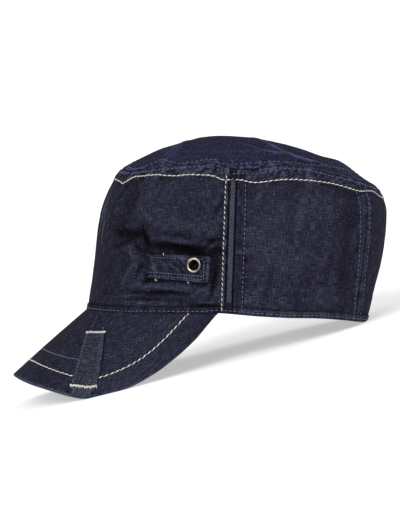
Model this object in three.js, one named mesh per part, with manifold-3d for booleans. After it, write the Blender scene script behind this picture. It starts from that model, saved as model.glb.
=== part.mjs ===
// Peaked cap in dark indigo denim, millimetres, +Z up, the peak towards -Y, the wearer's left towards +X.
// The cap is drawn with its rim level, and the last group tips it back as it rests on a table.
import * as THREE from 'three';
import Module from 'manifold-3d';

const wasm = await Module();
wasm.setup();

// Cloth
const clothThickness = 1.6;
const hemThickness = 2.6;
const hemHeight = 9;
const seamGap = 0.3;

// Crown
const apexHeight = 128;
const domeFront = 101.5;
const domeSide = 109;
const domeBack = 93;
const sideSeamAngle = 84.3;
const stripWidth = 5;
const stripThickness = 2.2;
const stripRise = 0.6;
const backSeamAngle = 151;

// Peak
const peakThickness = 3;
const peakJointAngle = 78.6;
const peakJointGap = 0.4;
const peakBulge = 0.4;
const peakEdgeRound = 0.9;

// Loop stitched to the peak, at the wearer's left
const loopThickness = 1.5;
const loopLift = 0.35;
const loopTopWidth = 15;
const loopFootWidth = 17;

// Tab and eyelet on the crown's left front
const tabThickness = 1.7;
const tabLift = 5.2;
const tabHoleRadius = 4.65;
const eyeletAngle = 67.9;
const eyeletHeight = 37.3;
const eyeletBoreRadius = 3.6;
const eyeletTubeRadius = 4.3;
const eyeletFlangeRadius = 5.6;

// How the cap rests: tipped back onto the peak's corners and the back of the rim
const restTilt = 16.16;
const pressedCloth = 1.1;

// Crown wall from rim to top seam: how far each ring reaches, and how square it is
const wallRings = [
  { level: 0, front: 101.1, back: 100.6, half: 82, squareness: 2.3 },
  { level: 0.14, front: 98.6, back: 103.4, half: 82.5, squareness: 2.3 },
  { level: 0.28, front: 97.4, back: 105.5, half: 82.7, squareness: 2.32 },
  { level: 0.5, front: 96.3, back: 109.5, half: 82.2, squareness: 2.34 },
  { level: 0.7, front: 93.5, back: 111.6, half: 81, squareness: 2.36 },
  { level: 0.82, front: 89.6, back: 112.2, half: 79.4, squareness: 2.36 },
  { level: 0.9, front: 86, back: 110.9, half: 77.2, squareness: 2.34 },
  { level: 0.96, front: 82.6, back: 108.2, half: 74.6, squareness: 2.3 },
  { level: 1, front: 79.8, back: 105.4, half: 71.8, squareness: 2.25 },
];

// Height of the rim and of the top seam round the cap, from the front at 0 to the back at 180 degrees
const rimHeights = [
  { angle: 0, height: 0 },
  { angle: 15, height: 0.1 },
  { angle: 36, height: 0.9 },
  { angle: 50, height: 2.2 },
  { angle: 72, height: 3.6 },
  { angle: 84, height: 3.4 },
  { angle: 98, height: 2.2 },
  { angle: 114, height: 1.5 },
  { angle: 130, height: 1.4 },
  { angle: 145, height: 0 },
  { angle: 158, height: -1.6 },
  { angle: 180, height: -2.2 },
];

const seamHeights = [
  { angle: 0, height: 101.5 },
  { angle: 20, height: 101.2 },
  { angle: 34, height: 103.8 },
  { angle: 48, height: 107 },
  { angle: 62, height: 109 },
  { angle: 75, height: 110.2 },
  { angle: 84, height: 107.2 },
  { angle: 94, height: 107.6 },
  { angle: 108, height: 110.2 },
  { angle: 120, height: 110 },
  { angle: 134, height: 107 },
  { angle: 150, height: 101.4 },
  { angle: 165, height: 96.6 },
  { angle: 180, height: 93 },
];

// Folds of the wall: middle, lean of the crease from level, half length, half width, and how far it stands out
const wallFolds = [
  { angle: 61, height: 49.5, lean: -5, length: 26, width: 3.6, depth: -3.4 },
  { angle: 58, height: 60, lean: -4, length: 30, width: 8, depth: 2.4 },
  { angle: 42, height: 54, lean: -68, length: 10, width: 4, depth: -2.4 },
  { angle: 31, height: 58, lean: 2, length: 12, width: 5, depth: -2 },
  { angle: 50, height: 14.5, lean: 0, length: 24, width: 3.2, depth: -1.8 },
  { angle: 47, height: 20.5, lean: 4, length: 18, width: 2.6, depth: 1.2 },
  { angle: 38, height: 36, lean: 70, length: 14, width: 6, depth: 1.4 },
  { angle: 70, height: 34, lean: 88, length: 16, width: 6, depth: 1.6 },
  { angle: 77, height: 36, lean: 90, length: 20, width: 4, depth: -1.4 },
  { angle: 21, height: 78, lean: 86, length: 20, width: 7, depth: 2.2 },
  { angle: 32, height: 80, lean: 84, length: 18, width: 7, depth: -1.4 },
  { angle: 12, height: 30, lean: 60, length: 22, width: 8, depth: 1.2 },
  { angle: 105, height: 62, lean: 84, length: 34, width: 14, depth: 1.2 },
  { angle: 124, height: 30, lean: 70, length: 30, width: 10, depth: -1.2 },
  { angle: 141, height: 50, lean: 86, length: 34, width: 8, depth: -1.6 },
  { angle: 134, height: 84, lean: 6, length: 26, width: 6, depth: 1 },
  { angle: 170, height: 44, lean: 80, length: 26, width: 10, depth: 1.4 },
];
const farSideFoldShare = 0.6;

// Creases of the top panel, on its plan: middle, lean from +X, half length, half width and rise
const topCreases = [
  { x: 30, y: -45, lean: 155, length: 34, width: 6, rise: 2.2 },
  { x: 22, y: -56, lean: 155, length: 30, width: 7, rise: -1.6 },
  { x: 45, y: 36, lean: 96, length: 44, width: 5, rise: 1.8 },
  { x: 57, y: 34, lean: 96, length: 40, width: 5, rise: -1.2 },
  { x: 30, y: 24, lean: 25, length: 22, width: 5, rise: 1.2 },
  { x: -34, y: -28, lean: 40, length: 30, width: 8, rise: 1.4 },
  { x: -40, y: 42, lean: 100, length: 36, width: 8, rise: 1.2 },
  { x: 6, y: 80, lean: 4, length: 34, width: 10.5, rise: 5.2 },
];

// Free edge of the peak from its middle to its end under the side of the rim
const peakEdge = [
  { share: 0, side: 0, forward: 153.6, drop: 49.8 },
  { share: 0.1, side: 18, forward: 152.8, drop: 50.2 },
  { share: 0.2, side: 36, forward: 149.8, drop: 51.4 },
  { share: 0.3, side: 52, forward: 143.4, drop: 53.3 },
  { share: 0.4, side: 64, forward: 133.4, drop: 55.9 },
  { share: 0.5, side: 71.5, forward: 121, drop: 59.3 },
  { share: 0.58, side: 75, forward: 109, drop: 60.8 },
  { share: 0.66, side: 77, forward: 95, drop: 58.2 },
  { share: 0.75, side: 78.6, forward: 78, drop: 52.2 },
  { share: 0.83, side: 79.8, forward: 60, drop: 41.6 },
  { share: 0.9, side: 80.8, forward: 43, drop: 27.8 },
  { share: 0.95, side: 81.4, forward: 30, drop: 14.8 },
  { share: 1, side: 81.8, forward: 15, drop: -0.8 },
];

// Run of the loop over the peak, by its place along the peak and from joint to edge
const loopRun = [
  { along: 0, share: 0.362, out: 0.225 },
  { along: 0.5, share: 0.474, out: 0.61 },
  { along: 1, share: 0.558, out: 0.992 },
];

// Ends of the tab on the crown, and how far the free end stands off
const tabEnds = [
  { along: 0, angle: 45.6, low: 26.4, high: 43.4, lift: 0 },
  { along: 0.35, angle: 55, low: 26, high: 43.5, lift: 0.06 },
  { along: 0.7, angle: 64.5, low: 25.6, high: 43.6, lift: 0.48 },
  { along: 1, angle: 72.6, low: 25.2, high: 43.6, lift: 1 },
];

// Rows of each body: how its levels are spaced
const wallLevels = [
  0, 0.045, 0.083, 0.09, 0.15, 0.22, 0.29, 0.35, 0.41, 0.46, 0.52, 0.59, 0.67, 0.75, 0.82, 0.88, 0.93, 0.967, 1,
];
const topLevels = [0, 0.05, 0.12, 0.22, 0.34, 0.48, 0.64, 0.82, 1];
const peakLevels = [0, 0.13, 0.27, 0.42, 0.57, 0.71, 0.84, 0.93, 0.985, 1];

function radians(degrees) {
  return (degrees * Math.PI) / 180;
}

// Smooth value of one column of a table
function tableValue(rows, key, place, column) {
  const last = rows.length - 1;
  const at = Math.min(Math.max(place, rows[0][key]), rows[last][key]);
  let row = 0;
  while (row < last - 1 && at > rows[row + 1][key]) {
    row += 1;
  }
  const slopeAt = (index) => {
    const before = rows[Math.max(index - 1, 0)];
    const after = rows[Math.min(index + 1, last)];
    return (after[column] - before[column]) / (after[key] - before[key]);
  };
  const span = rows[row + 1][key] - rows[row][key];
  const part = (at - rows[row][key]) / span;
  const square = part * part;
  const cube = square * part;
  const fromStart = (2 * cube - 3 * square + 1) * rows[row][column];
  const fromEnd = (3 * square - 2 * cube) * rows[row + 1][column];
  const startSlope = (cube - 2 * square + part) * span * slopeAt(row);
  const endSlope = (cube - square) * span * slopeAt(row + 1);
  return fromStart + fromEnd + startSlope + endSlope;
}

// Bell-shaped rise of a crease at a place given from its middle
function creaseRise(right, up, lean, length, width) {
  const turn = radians(lean);
  const along = right * Math.cos(turn) + up * Math.sin(turn);
  const across = up * Math.cos(turn) - right * Math.sin(turn);
  return Math.exp(-((along / length) ** 2) - (across / width) ** 2);
}

// Angle from the front, 0 to 180, whichever side it is on
function angleAway(angle) {
  const turns = Math.abs(angle) % 360;
  return turns > 180 ? 360 - turns : turns;
}

// The near side has the folds in full, and the far side has them softer
function wallFoldAt(angle, height) {
  const girthRadius = 90;
  const away = angleAway(angle);
  const sideways = Math.sin(radians(angle));
  const share = (1 + farSideFoldShare + (1 - farSideFoldShare) * sideways) / 2;
  let out = 0;
  for (const fold of wallFolds) {
    const right = radians(away - fold.angle) * girthRadius;
    const up = height - fold.height;
    out += share * fold.depth * creaseRise(right, up, fold.lean, fold.length, fold.width);
  }
  return out;
}

function topCreaseAt(x, y) {
  let rise = 0;
  for (const crease of topCreases) {
    rise += crease.rise * creaseRise(x - crease.x, y - crease.y, crease.lean, crease.length, crease.width);
  }
  return rise;
}

function ringRadius(angle, level) {
  const ahead = Math.cos(radians(angle));
  const aside = Math.sin(radians(angle));
  const reach = tableValue(wallRings, 'level', level, ahead > 0 ? 'front' : 'back');
  const half = tableValue(wallRings, 'level', level, 'half');
  const power = tableValue(wallRings, 'level', level, 'squareness');
  const sum = Math.abs(ahead / reach) ** power + Math.abs(aside / half) ** power;
  return sum ** (-1 / power);
}

function rimHeightAt(angle) {
  return tableValue(rimHeights, 'angle', angleAway(angle), 'height');
}

function seamHeightAt(angle) {
  return tableValue(seamHeights, 'angle', angleAway(angle), 'height');
}

// Point of the crown's outside: level 0 at the rim, 1 at the top seam, 2 at the middle of the top
function crownPoint(angle, level) {
  const turn = radians(angle);
  if (level <= 1) {
    const height = rimHeightAt(angle) + (seamHeightAt(angle) - rimHeightAt(angle)) * level;
    const radius = ringRadius(angle, level) + wallFoldAt(angle, height);
    return new THREE.Vector3(radius * Math.sin(turn), -radius * Math.cos(turn), height);
  }
  const seamHeight = seamHeightAt(angle);
  const keep = 2 - level;
  const radius = (ringRadius(angle, 1) + wallFoldAt(angle, seamHeight)) * keep;
  const x = radius * Math.sin(turn);
  const y = -radius * Math.cos(turn);
  const aside = Math.sin(turn) ** 2;
  const evenHeight = domeSide * aside + (Math.cos(turn) > 0 ? domeFront : domeBack) * (1 - aside);
  const dome = apexHeight - (apexHeight - evenHeight) * keep ** 2;
  const wave = (seamHeight - evenHeight) * keep ** 6;
  return new THREE.Vector3(x, y, dome + wave + topCreaseAt(x, y) * (1 - keep ** 5));
}

function normalOf(pointAt, across, along, acrossStep, alongStep) {
  const left = pointAt(across - acrossStep, along);
  const right = pointAt(across + acrossStep, along);
  const low = pointAt(across, along - alongStep);
  const high = pointAt(across, along + alongStep);
  return right.sub(left).cross(high.sub(low)).normalize();
}

function crownNormal(angle, level) {
  const inside = Math.min(Math.max(level, 0.02), 1.93);
  return normalOf(crownPoint, angle, inside, 1, 0.02);
}

// Point of the crown, moved out by the given distance
function crownOffset(angle, level, out) {
  return crownPoint(angle, level).addScaledVector(crownNormal(angle, level), out);
}

function levelAtHeight(angle, height) {
  return (height - rimHeightAt(angle)) / (seamHeightAt(angle) - rimHeightAt(angle));
}

// Closed body between an outer and an inner grid of points
function bodyBetween(columns, rows, outerAt, innerAt) {
  const positions = [];
  const faces = [];
  const size = (columns + 1) * (rows + 1);
  for (const pointAt of [outerAt, innerAt]) {
    for (let row = 0; row <= rows; row += 1) {
      for (let column = 0; column <= columns; column += 1) {
        positions.push(...pointAt(column, row).toArray());
      }
    }
  }
  const outer = (column, row) => row * (columns + 1) + column;
  const inner = (column, row) => size + outer(column, row);
  const quad = (a, b, c, d) => {
    faces.push(a, b, c, a, c, d);
  };
  for (let row = 0; row < rows; row += 1) {
    for (let column = 0; column < columns; column += 1) {
      const next = column + 1;
      const above = row + 1;
      quad(outer(column, row), outer(next, row), outer(next, above), outer(column, above));
      quad(inner(next, row), inner(column, row), inner(column, above), inner(next, above));
    }
  }
  for (let column = 0; column < columns; column += 1) {
    const next = column + 1;
    quad(inner(column, 0), inner(next, 0), outer(next, 0), outer(column, 0));
    quad(outer(column, rows), outer(next, rows), inner(next, rows), inner(column, rows));
  }
  for (let row = 0; row < rows; row += 1) {
    const above = row + 1;
    quad(inner(0, row), outer(0, row), outer(0, above), inner(0, above));
    quad(outer(columns, row), inner(columns, row), inner(columns, above), outer(columns, above));
  }
  return geometryFrom(positions, faces);
}

function geometryFrom(positions, faces) {
  const geometry = new THREE.BufferGeometry();
  geometry.setAttribute('position', new THREE.Float32BufferAttribute(positions, 3));
  geometry.setIndex(faces);
  geometry.computeVertexNormals();
  return geometry;
}

// Wall panel between two angles, doubled inside along its hem
function wallPanel(startAngle, endAngle, columns) {
  const seamLevel = 1 - seamGap / 2 / 108;
  const angleAt = (column) => startAngle + ((endAngle - startAngle) * column) / columns;
  const levelAt = (row) => wallLevels[row] * seamLevel;
  const thicknessAt = (row) => (wallLevels[row] * 104 < hemHeight ? hemThickness : clothThickness);
  const outerAt = (column, row) => crownPoint(angleAt(column), levelAt(row));
  const innerAt = (column, row) => {
    const inward = crownNormal(angleAt(column), levelAt(row)).negate();
    if (row === 0) {
      inward.z = 0;
    }
    return outerAt(column, row).addScaledVector(inward, thicknessAt(row));
  };
  return bodyBetween(columns, wallLevels.length - 1, outerAt, innerAt);
}

// Domed top panel, closed round its seam
function topPanel(columns) {
  const positions = [];
  const faces = [];
  const rings = topLevels.length - 1;
  const startLevel = 1 + seamGap / 2 / 80;
  for (const depth of [0, clothThickness]) {
    for (let ring = 0; ring < rings; ring += 1) {
      for (let column = 0; column < columns; column += 1) {
        const angle = -180 + (360 * column) / columns;
        const level = startLevel + (2 - startLevel) * topLevels[ring];
        positions.push(...crownOffset(angle, level, -depth).toArray());
      }
    }
    positions.push(0, 0, crownPoint(0, 2).z - depth);
  }
  const side = rings * columns + 1;
  const at = (layer, ring, column) => layer * side + ring * columns + (column % columns);
  const middle = (layer) => layer * side + rings * columns;
  for (let column = 0; column < columns; column += 1) {
    const next = column + 1;
    for (let ring = 0; ring < rings - 1; ring += 1) {
      const outer = [at(0, ring, column), at(0, ring, next), at(0, ring + 1, next), at(0, ring + 1, column)];
      const inner = [at(1, ring, next), at(1, ring, column), at(1, ring + 1, column), at(1, ring + 1, next)];
      faces.push(outer[0], outer[1], outer[2], outer[0], outer[2], outer[3]);
      faces.push(inner[0], inner[1], inner[2], inner[0], inner[2], inner[3]);
    }
    faces.push(at(0, rings - 1, column), at(0, rings - 1, next), middle(0));
    faces.push(at(1, rings - 1, next), at(1, rings - 1, column), middle(1));
    faces.push(at(1, 0, column), at(1, 0, next), at(0, 0, next));
    faces.push(at(1, 0, column), at(0, 0, next), at(0, 0, column));
  }
  return geometryFrom(positions, faces);
}

// Narrow tape that fills the side seam, a little proud of the wall
function seamStrip(middleAngle) {
  const columns = 2;
  const seamLevel = 1 - seamGap / 2 / 108;
  const halfAngle = ((stripWidth / 2 / 82) * 180) / Math.PI;
  const angleAt = (column) => middleAngle - halfAngle + (halfAngle * 2 * column) / columns;
  const levelAt = (row) => wallLevels[row] * seamLevel;
  const outerAt = (column, row) => crownOffset(angleAt(column), levelAt(row), stripRise);
  const innerAt = (column, row) => crownOffset(angleAt(column), levelAt(row), stripRise - stripThickness);
  return bodyBetween(columns, wallLevels.length - 1, outerAt, innerAt);
}

// Point of the peak's upper face: share -1 to 1 from end to end, out 0 at the joint and 1 at the edge
function peakPoint(share, out) {
  const place = Math.min(Math.abs(share), 1);
  const side = Math.sign(share);
  const joint = crownPoint(place * peakJointAngle, 0);
  joint.z -= peakJointGap;
  const edge = new THREE.Vector3(
    tableValue(peakEdge, 'share', place, 'side'),
    -tableValue(peakEdge, 'share', place, 'forward'),
    -tableValue(peakEdge, 'share', place, 'drop'),
  );
  const point = joint.lerp(edge, out);
  const bulge = 4 * out * (1 - out) * peakBulge * (1 - place ** 4);
  point.y -= bulge * 0.5;
  point.z += bulge * 0.8;
  point.x *= side;
  return point;
}

function peakNormal(share, out) {
  const inside = Math.min(Math.max(share, -0.985), 0.985);
  const within = Math.min(Math.max(out, 0.03), 0.97);
  return normalOf(peakPoint, inside, within, 0.012, 0.03).negate();
}

function peakOffset(share, out, up) {
  return peakPoint(share, out).addScaledVector(peakNormal(share, out), up);
}

function peakBody(columns) {
  const shareAt = (column) => -1 + (2 * column) / columns;
  const rows = peakLevels.length - 1;
  const roundAt = (row) => {
    if (row === rows) {
      return peakEdgeRound;
    }
    return row === rows - 1 ? peakEdgeRound * 0.15 : 0;
  };
  // The rows run from the edge up to the joint, so that the upper face looks outwards
  const outerAt = (column, row) => {
    const level = rows - row;
    return peakOffset(shareAt(column), peakLevels[level], -roundAt(level));
  };
  const innerAt = (column, row) => {
    const level = rows - row;
    return peakOffset(shareAt(column), peakLevels[level], roundAt(level) - peakThickness);
  };
  return bodyBetween(columns, rows, outerAt, innerAt);
}

// Loop over the peak, each cross row square to its run
function loopBody(rows) {
  const columns = 4;
  const placeAt = (along) => [tableValue(loopRun, 'along', along, 'share'), tableValue(loopRun, 'along', along, 'out')];
  const cornerAt = (column, row, up) => {
    const along = 1 - row / rows;
    const [share, out] = placeAt(along);
    const ahead = placeAt(Math.min(along + 0.02, 1));
    const behind = placeAt(Math.max(along - 0.02, 0));
    const run = peakPoint(...ahead).sub(peakPoint(...behind)).normalize();
    const shareStep = peakPoint(share + 0.01, out).sub(peakPoint(share - 0.01, out)).divideScalar(0.02);
    const outStep = peakPoint(share, out + 0.01).sub(peakPoint(share, out - 0.01)).divideScalar(0.02);
    const slip = -shareStep.dot(run) / outStep.dot(run);
    const cross = shareStep.clone().addScaledVector(outStep, slip);
    const width = loopTopWidth + (loopFootWidth - loopTopWidth) * along;
    const move = ((column / columns - 0.5) * width) / cross.length();
    return peakOffset(share + move, Math.min(out + slip * move, 0.999), up);
  };
  const outerAt = (column, row) => cornerAt(column, row, loopLift + loopThickness);
  const innerAt = (column, row) => cornerAt(column, row, loopLift);
  return bodyBetween(columns, rows, outerAt, innerAt);
}

// Upper face of the tab: along 0 at its sewn end and 1 at its free end, up 0 to 1 over its height
function tabPlace(along, up, out) {
  const angle = tableValue(tabEnds, 'along', along, 'angle');
  const low = tableValue(tabEnds, 'along', along, 'low');
  const high = tableValue(tabEnds, 'along', along, 'high');
  const lift = tableValue(tabEnds, 'along', along, 'lift') * tabLift;
  const level = levelAtHeight(angle, low + (high - low) * up);
  const outward = crownNormal(angle, levelAtHeight(angle, (low + high) / 2));
  return crownOffset(angle, level, seamGap + 0.2 + out).addScaledVector(outward, lift);
}

function tabGeometry(columns, rows) {
  const outerAt = (column, row) => tabPlace(column / columns, row / rows, tabThickness);
  const innerAt = (column, row) => tabPlace(column / columns, row / rows, 0);
  return bodyBetween(columns, rows, outerAt, innerAt);
}

// Middle and direction of the eyelet, on the tab's upper face
function eyeletPlace() {
  const along = (eyeletAngle - tabEnds[0].angle) / (tabEnds[3].angle - tabEnds[0].angle);
  const low = tableValue(tabEnds, 'along', along, 'low');
  const high = tableValue(tabEnds, 'along', along, 'high');
  const up = (eyeletHeight - low) / (high - low);
  const pointAt = (across, rise) => tabPlace(across, rise, tabThickness);
  return { middle: pointAt(along, up), normal: normalOf(pointAt, along, up, 0.1, 0.2) };
}

function solidOf(geometry) {
  return new wasm.Manifold(
    new wasm.Mesh({
      numProp: 3,
      vertProperties: new Float32Array(geometry.attributes.position.array),
      triVerts: new Uint32Array(geometry.index.array),
    }),
  );
}

function geometryOf(solid) {
  const mesh = solid.getMesh();
  const positions = [];
  for (let vertex = 0; vertex < mesh.numVert; vertex += 1) {
    const start = vertex * mesh.numProp;
    positions.push(...mesh.vertProperties.subarray(start, start + 3));
  }
  return geometryFrom(positions, Array.from(mesh.triVerts));
}

// Tab with the hole that the eyelet passes through
function tabWithHole(place) {
  const turn = new THREE.Quaternion().setFromUnitVectors(new THREE.Vector3(0, 1, 0), place.normal);
  const drill = new THREE.CylinderGeometry(tabHoleRadius, tabHoleRadius, 12, 24);
  drill.applyQuaternion(turn);
  drill.translate(place.middle.x, place.middle.y, place.middle.z);
  const joined = weldedCylinder(drill);
  return geometryOf(solidOf(tabGeometry(14, 5)).subtract(solidOf(joined)));
}

// Same cylinder with its repeated corners joined, so that it is one closed body
function weldedCylinder(cylinder) {
  const positions = [];
  const numbers = new Map();
  const corners = cylinder.attributes.position;
  const faces = [];
  for (let index = 0; index < cylinder.index.count; index += 1) {
    const corner = cylinder.index.getX(index);
    const point = [corners.getX(corner), corners.getY(corner), corners.getZ(corner)];
    const name = point.map((value) => value.toFixed(3)).join(' ');
    if (!numbers.has(name)) {
      numbers.set(name, positions.length / 3);
      positions.push(...point);
    }
    faces.push(numbers.get(name));
  }
  const whole = [];
  for (let index = 0; index < faces.length; index += 3) {
    const [a, b, c] = faces.slice(index, index + 3);
    if (a !== b && b !== c && a !== c) {
      whole.push(a, b, c);
    }
  }
  return geometryFrom(positions, whole);
}

// Rolled metal eyelet: a short tube with a round flange that lies on the tab
function eyeletGeometry() {
  const profile = [
    new THREE.Vector2(eyeletBoreRadius, -2.3),
    new THREE.Vector2(eyeletTubeRadius, -2.3),
    new THREE.Vector2(eyeletTubeRadius, seamGap),
    new THREE.Vector2(eyeletFlangeRadius, seamGap),
    new THREE.Vector2(eyeletFlangeRadius, 0.8),
    new THREE.Vector2(eyeletFlangeRadius - 0.5, 1.5),
    new THREE.Vector2(4.7, 1.8),
    new THREE.Vector2(4.1, 1.5),
    new THREE.Vector2(eyeletBoreRadius, 0.9),
    new THREE.Vector2(eyeletBoreRadius, -2.3),
  ];
  return new THREE.LatheGeometry(profile, 24);
}

const denimFront = new THREE.MeshStandardMaterial({ color: 0x2b2c3b, roughness: 0.92, metalness: 0 });
const denimSide = new THREE.MeshStandardMaterial({ color: 0x2d2c3c, roughness: 0.92, metalness: 0 });
const denimTop = new THREE.MeshStandardMaterial({ color: 0x282a38, roughness: 0.92, metalness: 0 });
const denimPeak = new THREE.MeshStandardMaterial({ color: 0x343646, roughness: 0.9, metalness: 0 });
const denimStrip = new THREE.MeshStandardMaterial({ color: 0x393b49, roughness: 0.9, metalness: 0 });
const denimTab = new THREE.MeshStandardMaterial({ color: 0x292935, roughness: 0.9, metalness: 0 });
const agedCopper = new THREE.MeshStandardMaterial({ color: 0x8a6a58, roughness: 0.35, metalness: 1 });

const cap = new THREE.Group();
cap.name = 'cap_body';

function addPiece(name, geometry, material) {
  const piece = new THREE.Mesh(geometry, material);
  piece.name = name;
  cap.add(piece);
  return piece;
}

// Half the strip and the gap beside it, as an angle round the crown
const stripSpan = (((stripWidth / 2 + seamGap) / 82) * 180) / Math.PI;
const backSpan = ((seamGap / 2 / 104) * 180) / Math.PI;

addPiece('crown_front', wallPanel(stripSpan - sideSeamAngle, sideSeamAngle - stripSpan, 36), denimFront);
addPiece('crown_side_left', wallPanel(sideSeamAngle + stripSpan, backSeamAngle - backSpan, 14), denimSide);
addPiece('crown_side_right', wallPanel(backSpan - backSeamAngle, -sideSeamAngle - stripSpan, 14), denimSide);
addPiece('crown_back', wallPanelAcrossBack(12), denimSide);
addPiece('crown_top', topPanel(72), denimTop);
addPiece('side_strip_left', seamStrip(sideSeamAngle), denimStrip);
addPiece('side_strip_right', seamStrip(-sideSeamAngle), denimStrip);
addPiece('peak', peakBody(40), denimPeak);
addPiece('peak_loop', loopBody(14), denimPeak);

// Back panel, drawn from seam to seam across the middle of the back
function wallPanelAcrossBack(columns) {
  return wallPanel(backSeamAngle + backSpan, 360 - backSeamAngle - backSpan, columns);
}

const eyeletSeat = eyeletPlace();
addPiece('eyelet_tab', tabWithHole(eyeletSeat), denimTab);

const eyelet = addPiece('eyelet', eyeletGeometry(), agedCopper);
eyelet.position.copy(eyeletSeat.middle);
eyelet.quaternion.setFromUnitVectors(new THREE.Vector3(0, 1, 0), eyeletSeat.normal);

const restingCap = new THREE.Group();
restingCap.name = 'peaked_cap';
restingCap.add(cap);
cap.rotation.x = -radians(restTilt);
restingCap.updateMatrixWorld(true);

// Cloth that would lie below the table is pressed flat onto it
function pressOntoTable(mesh, table) {
  const corners = mesh.geometry.attributes.position;
  const back = mesh.matrixWorld.clone().invert();
  const corner = new THREE.Vector3();
  for (let index = 0; index < corners.count; index += 1) {
    corner.fromBufferAttribute(corners, index).applyMatrix4(mesh.matrixWorld);
    if (corner.z < table) {
      corner.z = table;
      corner.applyMatrix4(back);
      corners.setXYZ(index, corner.x, corner.y, corner.z);
    }
  }
}

const loose = new THREE.Box3().setFromObject(restingCap, true);
const table = loose.min.z + pressedCloth;
for (const name of ['crown_back', 'peak', 'peak_loop']) {
  pressOntoTable(cap.getObjectByName(name), table);
}

const settled = new THREE.Box3().setFromObject(restingCap, true);
const middle = settled.getCenter(new THREE.Vector3());
cap.position.set(-middle.x, -middle.y, -table);
restingCap.updateMatrixWorld(true);

export default restingCap;
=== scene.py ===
import math

import bpy
import numpy as np
from mathutils import Matrix, Vector


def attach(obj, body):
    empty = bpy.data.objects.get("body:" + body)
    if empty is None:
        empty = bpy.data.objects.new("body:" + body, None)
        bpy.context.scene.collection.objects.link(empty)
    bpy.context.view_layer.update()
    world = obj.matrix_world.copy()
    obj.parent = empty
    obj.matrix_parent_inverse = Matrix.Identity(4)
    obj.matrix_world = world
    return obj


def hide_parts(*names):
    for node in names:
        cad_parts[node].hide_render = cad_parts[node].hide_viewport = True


# A peaked cap in dark indigo denim. Shapes are worked out in millimetres with the rim level,
# the peak towards -y and the wearer's left towards +x, then laid on the table in metres.
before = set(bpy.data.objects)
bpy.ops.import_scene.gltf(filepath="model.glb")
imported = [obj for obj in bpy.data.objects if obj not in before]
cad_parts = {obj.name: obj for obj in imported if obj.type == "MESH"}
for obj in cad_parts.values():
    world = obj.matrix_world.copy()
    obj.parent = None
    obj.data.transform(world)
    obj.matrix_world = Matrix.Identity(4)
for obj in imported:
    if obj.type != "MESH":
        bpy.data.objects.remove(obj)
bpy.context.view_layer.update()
print("cap: packed frame loaded")

restPose = {"tilt": 16.16, "shift": (-3.3667, 15.5941, 29.0511), "clearance": 0.02}


def leanOver(points):
    turn = math.radians(restPose["tilt"])
    x, y, z = points[..., 0], points[..., 1], points[..., 2]
    return np.stack([x, y * math.cos(turn) + z * math.sin(turn), z * math.cos(turn) - y * math.sin(turn)], -1)


def layOnTable(points):
    placed = leanOver(points) + np.array(restPose["shift"])
    placed[..., 2] = np.maximum(placed[..., 2], restPose["clearance"])  # cloth lies flat on the table
    return placed * 0.001


# Shape of the crown and the peak

wallRings = {
    "level": (0, 0.14, 0.28, 0.5, 0.7, 0.82, 0.9, 0.96, 1),
    "front": (101.1, 98.6, 97.4, 96.3, 93.5, 89.6, 86, 82.6, 79.8),
    "back": (100.6, 103.4, 105.5, 109.5, 111.6, 112.2, 110.9, 108.2, 105.4),
    "half": (82, 82.5, 82.7, 82.2, 81, 79.4, 77.2, 74.6, 71.8),
    "squareness": (2.3, 2.3, 2.32, 2.34, 2.36, 2.36, 2.34, 2.3, 2.25),
}
rimLine = {
    "angle": (0, 15, 36, 50, 72, 84, 98, 114, 130, 145, 158, 180),
    "height": (0, 0.1, 0.9, 2.2, 3.6, 3.4, 2.2, 1.5, 1.4, 0, -1.6, -2.2),
}
topSeamLine = {
    "angle": (0, 20, 34, 48, 62, 75, 84, 94, 108, 120, 134, 150, 165, 180),
    "height": (101.5, 101.2, 103.8, 107, 109, 110.2, 107.2, 107.6, 110.2, 110, 107, 101.4, 96.6, 93),
}
dome = {"apex": 128, "front": 101.5, "side": 109, "back": 93}

# large folds of the wall: angle and height of the middle, lean, half length, half width, depth
wallFolds = (
    (61, 49.5, -5, 26, 3.6, -3.4),
    (58, 60, -4, 30, 8, 2.4),
    (42, 54, -68, 10, 4, -2.4),
    (31, 58, 2, 12, 5, -2),
    (50, 14.5, 0, 24, 3.2, -1.8),
    (47, 20.5, 4, 18, 2.6, 1.2),
    (38, 36, 70, 14, 6, 1.4),
    (70, 34, 88, 16, 6, 1.6),
    (77, 36, 90, 20, 4, -1.4),
    (21, 78, 86, 20, 7, 2.2),
    (32, 80, 84, 18, 7, -1.4),
    (12, 30, 60, 22, 8, 1.2),
    (105, 62, 84, 34, 14, 1.2),
    (124, 30, 70, 30, 10, -1.2),
    (141, 50, 86, 34, 8, -1.6),
    (134, 84, 6, 26, 6, 1),
    (170, 44, 80, 26, 10, 1.4),
)
farSideFolds = 0.6

# creases of the top panel, on its plan: x, y, lean, half length, half width, rise
topCreases = (
    (30, -45, 155, 34, 6, 2.2),
    (22, -56, 155, 30, 7, -1.6),
    (45, 36, 96, 44, 5, 1.8),
    (57, 34, 96, 40, 5, -1.2),
    (30, 24, 25, 22, 5, 1.2),
    (-34, -28, 40, 30, 8, 1.4),
    (-40, 42, 100, 36, 8, 1.2),
    (6, 80, 4, 34, 10.5, 5.2),
)
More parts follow.
